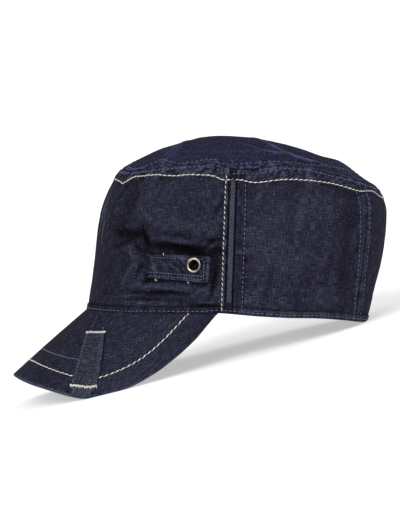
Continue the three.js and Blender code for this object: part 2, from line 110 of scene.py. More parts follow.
# lighter lines along the crests of those creases, rubbed wear with a painted highlight: places on the plan,
# half width, rise, how much lighter
topRidges = (
    (
        (
            (11, 4.1), (13, 12.7), (23.1, 19.7), (31.6, 24.6), (37.5, 29.3), (43, 35),
            (45.5, 42.5), (44, 50), (38.7, 59.3), (34.4, 68.6), (32, 76),
        ),
        1.9, 0.9, 1.35,
    ),
    (((32, 3), (35.6, 8.3), (41, 13), (45.3, 18), (47, 25), (46, 33)), 1.6, 0.4, 0.8),
    (((4.7, -30.8), (19.4, -40.9), (27.8, -48.9), (35.6, -56.8)), 1.8, 0.5, 0.7),
    (((-22, -38), (-34, -28), (-44, -16)), 2.6, 0.3, 0.35),
    (((-38, 20), (-41, 42), (-36, 62)), 2.6, 0.3, 0.35),
)
peakEdge = {
    "share": (0, 0.1, 0.2, 0.3, 0.4, 0.5, 0.58, 0.66, 0.75, 0.83, 0.9, 0.95, 1),
    "side": (0, 18, 36, 52, 64, 71.5, 75, 77, 78.6, 79.8, 80.8, 81.4, 81.8),
    "forward": (153.6, 152.8, 149.8, 143.4, 133.4, 121, 109, 95, 78, 60, 43, 30, 15),
    "drop": (49.8, 50.2, 51.4, 53.3, 55.9, 59.3, 60.8, 58.2, 52.2, 41.6, 27.8, 14.8, -0.8),
}
loopRun = {"along": (0, 0.5, 1), "share": (0.366, 0.48, 0.56), "out": (0.225, 0.605, 0.992)}
tabEnds = {
    "along": (0, 0.35, 0.7, 1),
    "angle": (45.6, 55, 64.5, 72.6),
    "low": (26.4, 26, 25.6, 25.2),
    "high": (44.1, 44.1, 44.1, 44),
    "lift": (0, 0.06, 0.48, 1),
}
seams = {"side": 84.2, "back": 151, "tapeHalf": 1.45, "tapeSpan": 1.6, "backSpan": 0.004, "peakEnd": 78.6}
wallTop, domeStart, domeEnd = 0.9999, 1.0002, 1.985  # levels where the cloth of wall and top starts or ends

# millimetres to a radian round the crown, or to one whole level or share
span = {"fold": 90, "wall": 92, "side": 82, "back": 101, "dome": 88, "tab": 88, "inset": 75, "peak": 150}


def tableValue(table, key, place, column):
    keys, values = np.array(table[key], float), np.array(table[column], float)
    at = np.clip(place, keys[0], keys[-1])
    row = np.clip(np.searchsorted(keys, at, side="right") - 1, 0, len(keys) - 2)
    before = np.maximum(np.arange(len(keys)) - 1, 0)
    after = np.minimum(np.arange(len(keys)) + 1, len(keys) - 1)
    slopes = (values[after] - values[before]) / (keys[after] - keys[before])
    step = keys[row + 1] - keys[row]
    part = (at - keys[row]) / step
    level = (2 * part**3 - 3 * part**2 + 1) * values[row] + (3 * part**2 - 2 * part**3) * values[row + 1]
    slope = (part**3 - 2 * part**2 + part) * slopes[row] + (part**3 - part**2) * slopes[row + 1]
    return level + slope * step


def tableValues(table, key, place, *columns):
    return [tableValue(table, key, place, column) for column in columns]


def bell(distance, width):
    return np.exp(-((distance / width) ** 2))


def ramp(value, start, end):
    part = np.clip((value - start) / (end - start), 0, 1)
    return part * part * (3 - 2 * part)


def foldShape(right, up, lean, length, width):
    turn = math.radians(lean)
    along = right * math.cos(turn) + up * math.sin(turn)
    across = up * math.cos(turn) - right * math.sin(turn)
    return np.exp(-((along / length) ** 2) - (across / width) ** 2)


def unit(vectors):
    return vectors / np.maximum(np.linalg.norm(vectors, axis=-1, keepdims=True), 1e-9)


def standOff(points, normals, amount):
    return points + normals * np.asarray(amount)[..., None]


def girthAt(angle, part="wall"):
    return np.radians(angle) * span[part]


def signedAngle(angle):
    return (angle + 180) % 360 - 180


def angleAway(angle):
    turns = np.abs(angle) % 360
    return np.where(turns > 180, 360 - turns, turns)


def rimHeight(angle):
    return tableValue(rimLine, "angle", angleAway(angle), "height")


def topSeamHeight(angle):
    return tableValue(topSeamLine, "angle", angleAway(angle), "height")


def wallFold(angle, height, folds=wallFolds):
    away = angleAway(angle)
    share = (1 + farSideFolds + (1 - farSideFolds) * np.sin(np.radians(angle))) / 2
    out = 0
    for middle, up, lean, length, width, depth in folds:
        fold = foldShape(girthAt(away - middle, "fold"), height - up, lean, length, width)
        out = out + share * depth * fold
    return out


def ringRadius(angle, level):
    ahead, aside = np.cos(np.radians(angle)), np.sin(np.radians(angle))
    front, back, half, power = tableValues(wallRings, "level", level, "front", "back", "half", "squareness")
    reach = np.where(ahead > 0, front, back)
    return (np.abs(ahead / reach) ** power + np.abs(aside / half) ** power) ** (-1 / power)


def wallPoint(angle, level):
    turn = np.radians(angle)
    height = rimHeight(angle) + (topSeamHeight(angle) - rimHeight(angle)) * level
    radius = ringRadius(angle, level) + wallFold(angle, height)
    return np.stack([radius * np.sin(turn), -radius * np.cos(turn), height], -1)


def domePoint(angle, level):
    turn, seam, keep = np.radians(angle), topSeamHeight(angle), 2 - level
    radius = (ringRadius(angle, np.ones_like(level)) + wallFold(angle, seam)) * keep
    x, y = radius * np.sin(turn), -radius * np.cos(turn)
    aside = np.sin(turn) ** 2
    even = dome["side"] * aside + np.where(np.cos(turn) > 0, dome["front"], dome["back"]) * (1 - aside)
    height = dome["apex"] - (dome["apex"] - even) * keep**2 + (seam - even) * keep**6
    rise = sum(up * foldShape(x - cx, y - cy, lean, long, wide)
               for cx, cy, lean, long, wide, up in topCreases)
    return np.stack([x, y, height + rise * (1 - keep**5)], -1)


def crownPoint(angle, level):
    angle, level = np.broadcast_arrays(np.asarray(angle, float), np.asarray(level, float))
    wall = wallPoint(angle, np.minimum(level, 1))
    return np.where((level <= 1)[..., None], wall, domePoint(angle, np.clip(level, 1, 2)))


def normalOf(pointAt, across, along, acrossStep, alongStep):
    sideways = pointAt(across + acrossStep, along) - pointAt(across - acrossStep, along)
    upwards = pointAt(across, along + alongStep) - pointAt(across, along - alongStep)
    return unit(np.cross(sideways, upwards))


def crownNormal(angle, level):
    return normalOf(crownPoint, angle, np.clip(level, 0.02, 1.93), 1, 0.02)


peakJoint = {"drop": 0.4, "bulge": 1.6, "bulgeForward": 0.5, "bulgeUp": 0.8}


def peakPoint(share, out):
    share, out = np.broadcast_arrays(np.asarray(share, float), np.asarray(out, float))
    place = np.minimum(np.abs(share), 1)
    joint = crownPoint(place * seams["peakEnd"], np.zeros_like(place))
    joint[..., 2] -= peakJoint["drop"]
    side, forward, drop = tableValues(peakEdge, "share", place, "side", "forward", "drop")
    point = joint + (np.stack([side, -forward, -drop], -1) - joint) * out[..., None]
    bulge = peakJoint["bulge"] * out * (1 - out) * (1 - place**4)
    point[..., 1] -= bulge * peakJoint["bulgeForward"]
    point[..., 2] += bulge * peakJoint["bulgeUp"]
    point[..., 0] *= np.where(share < 0, -1, 1)
    return point


def peakNormal(share, out):
    return -normalOf(peakPoint, np.clip(share, -0.985, 0.985), np.clip(out, 0.03, 0.97), 0.012, 0.03)


def levelAt(angle, height):
    return (height - rimHeight(angle)) / (topSeamHeight(angle) - rimHeight(angle))


def unevenness(x, y, size, seed):  # gentle hills about that size across, from -1 to 1
    lattice = np.random.default_rng(seed).uniform(-1, 1, (97, 89))
    u, v = x / size + 400.3, y / size + 400.7
    i, j = np.floor(u).astype(int), np.floor(v).astype(int)
    fu, fv = u - i, v - j
    fu, fv = fu * fu * (3 - 2 * fu), fv * fv * (3 - 2 * fv)
    low = lattice[i % 97, j % 89] * (1 - fu) + lattice[(i + 1) % 97, j % 89] * fu
    high = lattice[i % 97, (j + 1) % 89] * (1 - fu) + lattice[(i + 1) % 97, (j + 1) % 89] * fu
    return low * (1 - fv) + high * fv


def hilly(x, y, rows):  # each row holds a height, a stretch sideways and upwards, a size and a seed
    return sum(high * unevenness(x * wide, y * tall, size, seed) for high, wide, tall, size, seed in rows)


def closeTogether(start, end, count, crowding=0.6):  # places that crowd towards both ends
    part = np.linspace(0, 1, count)
    return start + (end - start) * (part - crowding * np.sin(2 * np.pi * part) / (2 * np.pi))


# Rows of stitches, by the places where they run

# how far the rows lie from the top seam, once round from the back by the wearer's right, the front (0)
# and the wearer's left
creamUnderTop = {
    "angle": (
        -180, -150, -120, -84, -60, -30, 0, 14, 20.4, 23.4, 27, 40, 54,
        63.4, 74.2, 78.4, 85.3, 97.8, 113.8, 123, 135, 148, 157, 164, 180,
    ),
    "drop": (
        6.2, 6.8, 6.4, 7.4, 6.6, 6, 7.4, 7.8, 8.8, 7, 4.8, 5.3, 7.3,
        7.3, 8.8, 10, 7.4, 10, 9.5, 9.2, 8.1, 8.6, 5.9, 8, 6.2,
    ),
}
blueUnderTop = {
    "angle": (-180, -120, -84, -40, 0, 30, 45, 55, 62, 66, 75, 78.3, 88, 99.4, 107.7, 116, 130, 150, 180),
    "drop": (2.6, 2.8, 3.2, 2.6, 2.4, 1.8, 2.2, 2.1, 1.9, 2.1, 3.8, 5.6, 3.2, 4, 3, 2.2, 2.4, 2.6, 2.6),
}
blueOnDome = {  # inside the top seam, on the top panel
    "angle": (
        -180, -150, -120, -84, -50, -20, 8, 28.4, 31.6, 45.3, 50.8, 57.8,
        63.8, 67.8, 73.2, 77, 86, 94.9, 112, 128, 142, 152, 160, 180,
    ),
    "inset": (
        9, 12, 9, 6, 5, 5, 3, 3, 11, 5.8, 4.2, 4,
        6.6, 7.4, 5.2, 2.4, 5.4, 6.1, 6.6, 11, 13.4, 13, 12, 9,
    ),
}
sideSeamRows = {"cream": -3.3, "blue": 6.8}  # degrees from the middle of the tape
backSeamRows = (-2.8, 2.8)
backSeamSlant = {"foot": 1.6, "drift": 3.4}  # the seam leans forward as it rises, in degrees
rimRow = 2.1
peakCream = (  # shares round the peak and out from its joint
    (0.002, 0.775), (0.112, 0.77), (0.2, 0.775), (0.281, 0.782), (0.362, 0.791), (0.44, 0.795),
    (0.51, 0.786), (0.57, 0.767), (0.617, 0.73), (0.669, 0.678), (0.716, 0.604), (0.745, 0.526),
    (0.773, 0.411), (0.797, 0.261), (0.812, 0.133), (0.825, 0.035), (0.84, -0.06),
)
peakBlue = (
    (0.002, 0.604), (0.13, 0.607), (0.264, 0.612), (0.377, 0.612), (0.47, 0.585), (0.557, 0.524),
    (0.633, 0.411), (0.668, 0.273), (0.69, 0.13), (0.7, 0.02),
)

clothFinish = {
    "thickness": 1.6,
    "hemThickness": 2.6,
    "hemTop": 4.9,
    "hemRise": 0.6,
    "hemHang": 1.1,
    "groove": 1.0,
    "bandRise": 0.55,
    "frontEdgeRise": 0.4,
    "sideEdgeRise": 0.65,
    "backBandRise": 0.45,
    "rowPress": 0.35,
    "pucker": 0.32,
    "wallHills": ((0.5, 1, 1, 26, 11), (0.1, 1, 1, 10, 12), (0.06, 1, 1, 3.4, 14)),
    "aboveHemHills": ((0.22, 0.4, 1, 4.2, 13),),
    "domeHills": ((0.5, 1, 1, 24, 31), (0.22, 1, 1, 9, 32), (0.06, 1, 1, 3.4, 33)),
}

# small wrinkles that only the cloth's surface shows, laid out like the large folds
smallWrinkles = (
    (58.5, 49, -4, 19, 2.6, -0.8),
    (57, 54.6, -4, 20, 3.2, 0.4),
    (43, 54.6, -79, 8, 2.4, -0.9),
    (37.5, 57, 4, 8, 2.4, -0.6),
    (76, 56, 6, 5, 1.6, -0.8),
    (50, 16.2, 1, 12, 1.2, -0.7),
    (71, 9.6, -3, 12, 1.2, -0.7),
    (11, 56, 84, 12, 2.6, 0.7),
    (5.5, 72, 83, 15, 2.6, 0.9),
    (44, 11.5, 2, 16, 1.5, -0.7),
    (55, 17.5, -3, 14, 1.5, -0.8),
    (36, 13, 6, 10, 1.6, 0.5),
    (62, 12, 3, 12, 1.6, -0.5),
    (48, 24.6, 2, 12, 1.2, -0.5),
    (40, 47, -50, 7, 1.8, -0.9),
    (37, 41, -62, 7, 1.6, 0.7),
    (41, 33, 62, 8, 1.5, -0.7),
    (35, 29, 58, 9, 1.6, 0.6),
    (43, 22, 40, 7, 1.4, -0.5),
    (30, 50, 20, 10, 2, -0.8),
    (34, 63, 12, 9, 2.2, 0.6),
    (60, 55, -6, 18, 2, 0.5),
    (66, 47, -16, 12, 1.8, -1),
    (74, 50, 50, 8, 2, 0.6),
    (76, 22, 78, 9, 1.8, -0.6),
    (70, 19, 30, 9, 1.6, 0.5),
    (17, 66, 84, 14, 2.6, 0.5),
    (24, 88, 70, 8, 2.2, -0.7),
    (79, 84, 66, 9, 2, -0.7),
    (98, 88, 60, 9, 2.4, 0.4),
    (104, 26, 76, 16, 3, -0.4),
    (118, 74, 80, 18, 3.4, 0.4),
    (133, 40, 82, 20, 3, -0.5),
    (146, 66, 76, 16, 3, 0.5),
    (163, 28, 66, 14, 3, -0.5),
    (172, 70, 82, 18, 3.4, 0.5),
)


# patches laid out like the large folds, with an amount: painted shade in the folds and beside the tab's free
# end where positive, a painted highlight near the front where strongly negative, and a few broad lighter and
# darker tones
paintedShadeAndTone = (
    (58, 50, -4, 21, 4, 0.45),
    (68, 48, -8, 10, 4, 0.4),
    (58, 56, -5, 26, 5, 0.7),
    (75, 51, -8, 8, 3.5, 0.7),
    (38, 63, 4, 14, 5, 0.7),
    (31, 57, 2, 14, 5, 0.5),
    (42.5, 55, -76, 9, 3.4, 0.5),
    (8.5, 69, 96, 15, 6.5, -1.0),
    (14, 28, 90, 24, 14, 0.3),
    (47, 15.5, 1, 16, 2.6, 0.6),
    (72, 9, -3, 12, 2, 0.5),
    (76.6, 34, 88, 10, 3, 0.7),
    (77, 57, 4, 6, 3, 0.5),
    (79.5, 60, 88, 30, 2.4, 0.35),
    (22, 68, 88, 36, 14, 0.32),
    (50, 80, 0, 26, 15, -0.22),
    (36, 40, 90, 18, 12, 0.3),
    (112, 56, 0, 26, 32, -0.12),
    (143, 54, 88, 44, 9, 0.22),
)


def wearersLeft(angle):  # 1 on the wearer's left and low on the right, so that the two sides differ
    return 0.25 + 0.75 * ramp(np.sin(np.radians(angle)), -0.14, 0)


def hemHang(angle, height):  # how far the hem hangs over the peak's joint
    low = 1 - ramp(height - rimHeight(angle), 1, 14)
    return clothFinish["hemHang"] * (1 - ramp(angleAway(angle), 70, 80)) * low


def pressed(gap, width, share=1):  # a row pulls the cloth in
    return clothFinish["rowPress"] * share * bell(gap, width)


def puckered(x, y, size, seed, share=1):  # the small puckers that a row gathers
    return clothFinish["pucker"] * share * unevenness(x, y, size, seed)


def grooved(gap, width, share=1):
    return clothFinish["groove"] * share * bell(gap, width)


def hemRelief(up, girth):
    hemTop = clothFinish["hemTop"]
    out = clothFinish["hemRise"] * (1 - ramp(up, hemTop - 0.9, hemTop))
    out += -0.4 * bell(up, 0.6) - 0.15 * bell(up - hemTop - 0.6, 1.1) - pressed(up - rimRow, 0.9)
    return out + puckered(girth, up * 0.4, 4.6, 15) * bell(up - rimRow, 5)


def topBandRelief(angle, down, girth):  # the turned band below the top seam, with its two rows
    cream = down - tableValue(creamUnderTop, "angle", signedAngle(angle), "drop")
    blue = down - tableValue(blueUnderTop, "angle", signedAngle(angle), "drop")
    out = clothFinish["bandRise"] * (1 - ramp(cream, 0.2, 1.7)) - grooved(down, 1, 0.6)
    out -= pressed(cream, 0.9) + pressed(blue, 0.7, 0.8)
    out += puckered(girth + 0.5 * down, down * 0.35, 5.4, 16, 1.8) * bell(cream + 1, 5)
    return out + puckered(girth + 0.8 * down, down * 0.5, 3.1, 17, 1.8) * bell(blue, 3.4)


def sideSeamRelief(away, height):
    side = girthAt(away - seams["side"], "side")
    cream, blue = (girthAt(sideSeamRows[name], "side") for name in ("cream", "blue"))
    out = clothFinish["frontEdgeRise"] * ramp(side, cream - 1.6, cream) * (side < 0)
    out += clothFinish["sideEdgeRise"] * (1 - ramp(side, blue - 1.3, blue - 0.2)) * (side > 0)
    out -= pressed(side - cream, 0.8) + pressed(side - blue, 0.9) + grooved(np.abs(side) - 2.6, 0.8)
    return out + puckered(side * 0.4, height, 5.2, 18) * (bell(side - cream, 5) + bell(side - blue, 5))


def backSeamRelief(away, height):
    rear = girthAt(away - seams["back"], "back")
    slant = backSeamSlant["foot"] - backSeamSlant["drift"] * height / 100
    gap = np.abs(rear - girthAt(slant, "back")) - girthAt(backSeamRows[1], "back")
    out = clothFinish["backBandRise"] * (1 - ramp(gap, 0.6, 1.8)) - grooved(rear, 0.7, 0.35)
    out -= pressed(gap, 0.8)
    return out + puckered(rear * 0.4, height, 5.6, 19) * bell(rear, 7)


def wallRelief(angle, height):  # what stands out from the plain wall, in millimetres
    away, girth = angleAway(angle), girthAt(angle)
    up, down = height - rimHeight(angle), topSeamHeight(angle) - height
    out = wallFold(angle, height, smallWrinkles) * wearersLeft(angle)
    out += hilly(girth, height, clothFinish["wallHills"])
    out += hilly(girth, height, clothFinish["aboveHemHills"]) * bell(up - 16, 13)
    out += hemRelief(up, girth) + topBandRelief(angle, down, girth)
    return out + sideSeamRelief(away, height) + backSeamRelief(away, height)


def nearLine(x, y, places, width):  # 1 on a line through those places on the plan, fading at its ends
    spots = thread(places, 60)
    middle = np.abs(np.linspace(-1, 1, 60))
    best = np.zeros(np.shape(x))
    for (cx, cy), share in zip(spots, middle):
        best = np.maximum(best, (1 - share**4) * bell(np.hypot(x - cx, y - cy), width))
    return best


def domeRelief(angle, level):
    inset, girth = (level - 1) * span["inset"], girthAt(angle, "dome")
    point = domePoint(angle, level)
    x, y = point[..., 0], point[..., 1]
    row = inset - tableValue(blueOnDome, "angle", signedAngle(angle), "inset")
    out = hilly(x, y, clothFinish["domeHills"]) * ramp(inset, 0, 8)
    for places, width, rise, _ in topRidges:
        out += rise * nearLine(x, y, places, width * 1.3)
    out += clothFinish["bandRise"] * 0.8 * (1 - ramp(row, -0.2, 1.4))
    out -= grooved(inset, 1.1, 0.6) + pressed(row, 0.9)
    out += puckered(girth, inset * 0.4, 5.2, 34, 1.7) * bell(row, 5)
    return out + puckered(girth, inset * 0.5, 3.2, 35, 1.3) * bell(inset, 3.4)


def nearRow(share, out, row, width):  # 1 on a stitch row of the peak or its mirrored half
    point = peakPoint(share, out)
    line = peakPoint(*thread(row, 90).T)
    gap = np.full(share.shape, 1e9)
    for spot in np.concatenate([line, line * np.array([-1, 1, 1])]):
        gap = np.minimum(gap, ((point - spot) ** 2).sum(-1))
    return bell(np.sqrt(gap), width)


def thread(places, count):  # evenly spread places on a smooth line through those given
    places = np.array(places, float)
    table = {"step": np.arange(len(places)), "a": places[:, 0], "b": places[:, 1]}
    step = np.linspace(0, len(places) - 1, count)
    return np.stack(tableValues(table, "step", step, "a", "b"), -1)


def raisedOrSunk(relief, strength, rounds=14):  # 1 on rubbed ridges, -1 deep in hollows
    soft = relief.copy()
    for _ in range(rounds):
        padded = np.pad(soft, 1, mode="edge")
        soft = (padded[:-2, 1:-1] + padded[2:, 1:-1] + padded[1:-1, :-2] + padded[1:-1, 2:]) / 4
    return np.clip((relief - soft) * strength, -1, 1)


# Meshes


def makePiece(name, points, faces, material, cloth=None, fadeAndShading=None, node=None, other=None):
    mesh = bpy.data.meshes.new(name)
    mesh.from_pydata(layOnTable(points).tolist(), [], faces)
    mesh.polygons.foreach_set("use_smooth", [True] * len(mesh.polygons))
    # the fade layer holds worn, lighter cloth together with painted shade and painted highlights
    layers = (("cloth", "FLOAT_VECTOR", "vector", cloth), ("fadeAndShading", "FLOAT", "value", fadeAndShading))
    for title, kind, field, values in layers:
        if values is not None:
            numbers = np.ascontiguousarray(values, np.float32).ravel()
            mesh.attributes.new(title, kind, "POINT").data.foreach_set(field, numbers)
    mesh.materials.append(material)
    if other:  # a second cloth, with a flag for each face that it covers
        mesh.materials.append(other[0])
        mesh.polygons.foreach_set("material_index", other[1])
    piece = bpy.data.objects.new(name, mesh)
    bpy.context.scene.collection.objects.link(piece)
    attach(piece, "root")
    if node:
        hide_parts(node)
    print(f"cap: {name} made, {len(faces)} faces")
    return piece


def gridFaces(index):
    return np.stack([index[:-1, :-1], index[:-1, 1:], index[1:, 1:], index[1:, :-1]], -1).reshape(-1, 4)


def shellFaces(rows, columns, wrapped=False):
    size = rows * columns
    index = np.arange(size).reshape(rows, columns)
    if wrapped:
        index = np.concatenate([index, index[:, :1]], 1)
        edges = [index[0], index[-1][::-1]]
    else:
        edges = [np.concatenate([index[0], index[1:, -1], index[-1, -2::-1], index[-2::-1, 0]])]
    outer = gridFaces(index)
    faces = [outer, outer[:, [1, 0, 3, 2]] + size]
    for edge in edges:
        faces.append(np.stack([edge[:-1] + size, edge[1:] + size, edge[1:], edge[:-1]], -1))
    return np.concatenate(faces).tolist()


def clothShell(name, outer, inner, clothPlace, fadeAndShading, material, node, wrapped=False, other=None):
    rows, columns = outer.shape[:2]
    points = np.concatenate([outer.reshape(-1, 3), inner.reshape(-1, 3)])
    place = np.stack([*clothPlace, np.zeros((rows, columns))], -1).reshape(-1, 3)
    cloth = np.concatenate([place, place + np.array([40, 60, 0])])  # the inside shows other threads
    fadesAndShading = np.concatenate([fadeAndShading.ravel(), np.zeros(rows * columns)])
    faces = shellFaces(rows, columns, wrapped)
    if other:
        covered = np.tile(other[1].ravel(), 2)
        other = (other[0], [int(covered[face[0]]) for face in faces])
    return makePiece(name, points, faces, material, cloth, fadesAndShading, node, other)


# Materials


def setInputs(tree, node, inputs):
    for socket, value in inputs.items():
        if isinstance(value, bpy.types.NodeSocket):
            tree.links.new(value, node.inputs[socket])
        else:
            node.inputs[socket].default_value = value


def addNode(tree, kind, inputs=None, **settings):
    node = tree.nodes.new("ShaderNode" + kind)
    for name, value in settings.items():
        setattr(node, name, value)
    setInputs(tree, node, inputs or {})
    return node


def calculate(tree, operation, first, second=0.0, third=0.0):
    return addNode(tree, "Math", {0: first, 1: second, 2: third}, operation=operation).outputs[0]


def noiseOver(tree, place, scale, detail=2.0, roughness=0.5):
    moved = addNode(tree, "Mapping", {"Vector": place, "Scale": scale}).outputs[0]
    inputs = {"Vector": moved, "Scale": 1.0, "Detail": detail, "Roughness": roughness}
    return addNode(tree, "TexNoise", inputs).outputs[0]


def bumped(tree, height, strength, distance):
    return addNode(tree, "Bump", {"Height": height, "Strength": strength, "Distance": distance}).outputs[0]


def colourRamp(tree, amount, dark, middle, light, middleAt):
    ramped = addNode(tree, "ValToRGB", {0: amount})
    elements = ramped.color_ramp.elements
    elements[0].color, elements[1].color = (*dark, 1), (*light, 1)
    elements.new(middleAt).color = (*middle, 1)
    return ramped.outputs[0]


def newMaterial(name):
    material = bpy.data.materials.new(name)
    material.use_nodes = True
    tree = material.node_tree
    shader = tree.nodes["Principled BSDF"]
    return material, tree, shader


def denimCloth(name, look):
    material, tree, shader = newMaterial(name)
    place = addNode(tree, "Attribute", attribute_name="cloth").outputs["Vector"]
    fadedAndShaded = addNode(tree, "Attribute", attribute_name="fadeAndShading").outputs["Fac"]
    parts = addNode(tree, "SeparateXYZ", {0: place})
    wobble = noiseOver(tree, place, (0.5, 0.5, 1))
    slope = calculate(tree, "MULTIPLY_ADD", parts.outputs[1], look["twillSlope"], parts.outputs[0])
    slope = calculate(tree, "MULTIPLY_ADD", wobble, 0.9, slope)
    rib = calculate(tree, "SINE", calculate(tree, "MULTIPLY", slope, 2 * math.pi / look["twillPitch"]))
    rib = calculate(tree, "MULTIPLY_ADD", rib, 0.5, 0.5)
    weft = noiseOver(tree, place, (0.17, 1.9, 1), 1.5, 0.55)
    warp = noiseOver(tree, place, (2.0, 0.17, 1), 1.5, 0.55)
    grain = noiseOver(tree, place, (1.5, 1.5, 1), 2.0, 0.6)
    blotch = noiseOver(tree, place, (0.055, 0.05, 1), 3.0, 0.55)
    speck = calculate(tree, "MULTIPLY", calculate(tree, "SUBTRACT", grain, 0.62), 6.0)
    speck = calculate(tree, "MULTIPLY", calculate(tree, "MAXIMUM", speck, 0.0), look["specks"])

    light = calculate(tree, "MULTIPLY", rib, look["ribContrast"])
    for pattern, amount in ((weft, "streaks"), (warp, "streaks"), (blotch, "blotches"), (grain, "grain")):
        centred = calculate(tree, "SUBTRACT", pattern, 0.5)
        light = calculate(tree, "MULTIPLY_ADD", centred, look[amount], light)
    light = calculate(tree, "ADD", light, speck)
    # lighter where the cloth is worn and where highlights are painted, darker where shade is painted
    light = calculate(tree, "MULTIPLY_ADD", fadedAndShaded, look["fadeAndShadingStrength"], light)
    light = calculate(tree, "ADD", light, look["lightness"])
    height = calculate(tree, "MULTIPLY", weft, 0.7)
    for pattern, share in ((rib, 0.6), (warp, 0.7), (grain, 0.6)):
        height = calculate(tree, "MULTIPLY_ADD", pattern, share, height)
    setInputs(tree, shader, {
        "Base Color": colourRamp(tree, light, look["deep"], look["indigo"], look["rubbedAndLit"], 0.45),
        "Normal": bumped(tree, height, 0.8, look["bump"] * 0.001),
        "Roughness": calculate(tree, "MULTIPLY_ADD", grain, 0.12, look["roughness"]),
        "Specular IOR Level": look["gloss"],
    })
    return material


denimLook = {
    "deep": (0.0014, 0.0012, 0.002),
    "indigo": (0.0155, 0.0152, 0.0285),
    "rubbedAndLit": (0.074, 0.084, 0.135),
    "lightness": 0.36,
    "fadeAndShadingStrength": 0.3,
    "twillPitch": 1.3,
    "twillSlope": 0.62,
    "ribContrast": 0.1,
    "streaks": 1.0,
    "grain": 0.38,
    "blotches": 0.1,
    "specks": 0.3,
    "bump": 0.2,
    "roughness": 0.86,
    "gloss": 0.05,
}
frontDenim = denimCloth("indigoDenimFront", denimLook)
sideDenim = denimCloth("indigoDenimSide", {**denimLook, "indigo": (0.0163, 0.0152, 0.0298)})
topDenim = denimCloth("indigoDenimTop", {
    **denimLook,
    "indigo": (0.0168, 0.0168, 0.038),
    "rubbedAndLit": (0.085, 0.092, 0.19),
})
peakDenim = denimCloth("wornPeakDenim", {
    **denimLook,
    "lightness": 0.355,
    "grain": 0.45,
    "specks": 0.6,
    "blotches": 0.14,
})
tabDenim = denimCloth("tabDenim", {**denimLook, "lightness": 0.345, "fadeAndShadingStrength": 0.36, "specks": 0.6})
loopDenim = denimCloth("loopDenim", {
    **denimLook,
    "indigo": (0.0185, 0.0195, 0.0275),
    "lightness": 0.42,
    "streaks": 1.2,
    "specks": 0.6,
})
tapeTwill = denimCloth("greyBlueTape", {
    **denimLook,
    "indigo": (0.0265, 0.028, 0.04),
    "lightness": 0.3,
    "twillPitch": 5.0,
    "twillSlope": -3.1,
    "ribContrast": 0.5,
    "streaks": 1.2,
})


def sewingThread(name, look):
    material, tree, shader = newMaterial(name)
    place = addNode(tree, "Attribute", attribute_name="cloth").outputs["Vector"]
    parts = addNode(tree, "SeparateXYZ", {0: place})
    winding = calculate(tree, "MULTIPLY_ADD", parts.outputs[0], look["twist"], parts.outputs[1])
    ply = calculate(tree, "MULTIPLY_ADD", calculate(tree, "SINE", winding), 0.5, 0.5)
    patch = noiseOver(tree, place, (0.6, 0.3, 0.37), 3.0)
    amount = calculate(tree, "MULTIPLY_ADD", ply, 0.45, calculate(tree, "MULTIPLY", patch, 0.6))
    shades = {0: amount, 6: (*look["shade"], 1), 7: (*look["lit"], 1)}
    colours = addNode(tree, "Mix", shades, data_type="RGBA")
    setInputs(tree, shader, {
        "Base Color": colours.outputs[2],
        "Normal": bumped(tree, ply, 0.7, 0.00012),
        "Roughness": look["roughness"],
        "Sheen Weight": 0.15,
    })
    return material


creamThread = sewingThread("creamCottonThread", {
    "shade": (0.36, 0.32, 0.27), "lit": (0.9, 0.86, 0.8), "twist": 4.0, "roughness": 0.7,
})
blueThread = sewingThread("blueSewingThread", {
    "shade": (0.03, 0.036, 0.08), "lit": (0.12, 0.14, 0.27), "twist": 5.0, "roughness": 0.6,
})


def agedMetal(name, look):
    material, tree, shader = newMaterial(name)
    place = addNode(tree, "TexCoord").outputs["Object"]
    patina = noiseOver(tree, place, (900, 900, 900), 4.0, 0.6)
    scratch = noiseOver(tree, place, (3200, 3200, 500), 3.0, 0.6)
    # lighter on the rubbed crest of the lip and on its painted highlight
    rubbedAndLit = addNode(tree, "Attribute", attribute_name="fadeAndShading").outputs["Fac"]
    amount = calculate(tree, "MULTIPLY_ADD", rubbedAndLit, look["rubAndShine"], calculate(tree, "MULTIPLY", patina, 0.8))
    setInputs(tree, shader, {
        "Base Color": colourRamp(tree, amount, look["patina"], look["copper"], look["bright"], 0.5),
        "Normal": bumped(tree, scratch, 0.3, 0.00006),
        "Roughness": calculate(tree, "MULTIPLY_ADD", patina, 0.3, look["roughness"]),
        "Metallic": 1.0,
    })
    return material


agedCopper = agedMetal("agedCopper", {
    "patina": (0.02, 0.013, 0.011),
    "copper": (0.085, 0.06, 0.05),
    "bright": (0.5, 0.44, 0.4),
    "roughness": 0.26,
    "rubAndShine": 0.75,
})
print("cap: materials made")


# Crown walls

wallLook = {
    "columnGap": 1.0,
    "rows": 124,
    "crowding": 0.55,
    "edgeTurn": 0.35,
    "crestWear": 1.6,
    "foldShadeAndWear": 0.55,
    "foldWearMost": 0.2,
    "topEdgeWear": 0.3,
    "topBandPuckers": 1.15,
    "hemDark": 0.6,
    "seamEdgeDark": 0.5,
    "besideTapeDark": 0.6,
    "paintedTabShadow": 0.9,
    "tabMiddle": 59,
    "tabHalf": 13.4,
}


def tabEdges(place, key="angle"):
    return tableValues(tabEnds, key, place, "low", "high")


def underTab(angle, height):  # 1 where the tab covers the cloth, fading just beside it; the mask of the tab's painted shadow
    low, high = tabEdges(angle)
    sideways = girthAt(np.abs(angle - wallLook["tabMiddle"]) - wallLook["tabHalf"], "tab")
    upright = np.abs(height - (low + high) / 2) - (high - low) / 2
    return bell(np.hypot(np.maximum(sideways, 0), np.maximum(upright, 0)), 2.2)


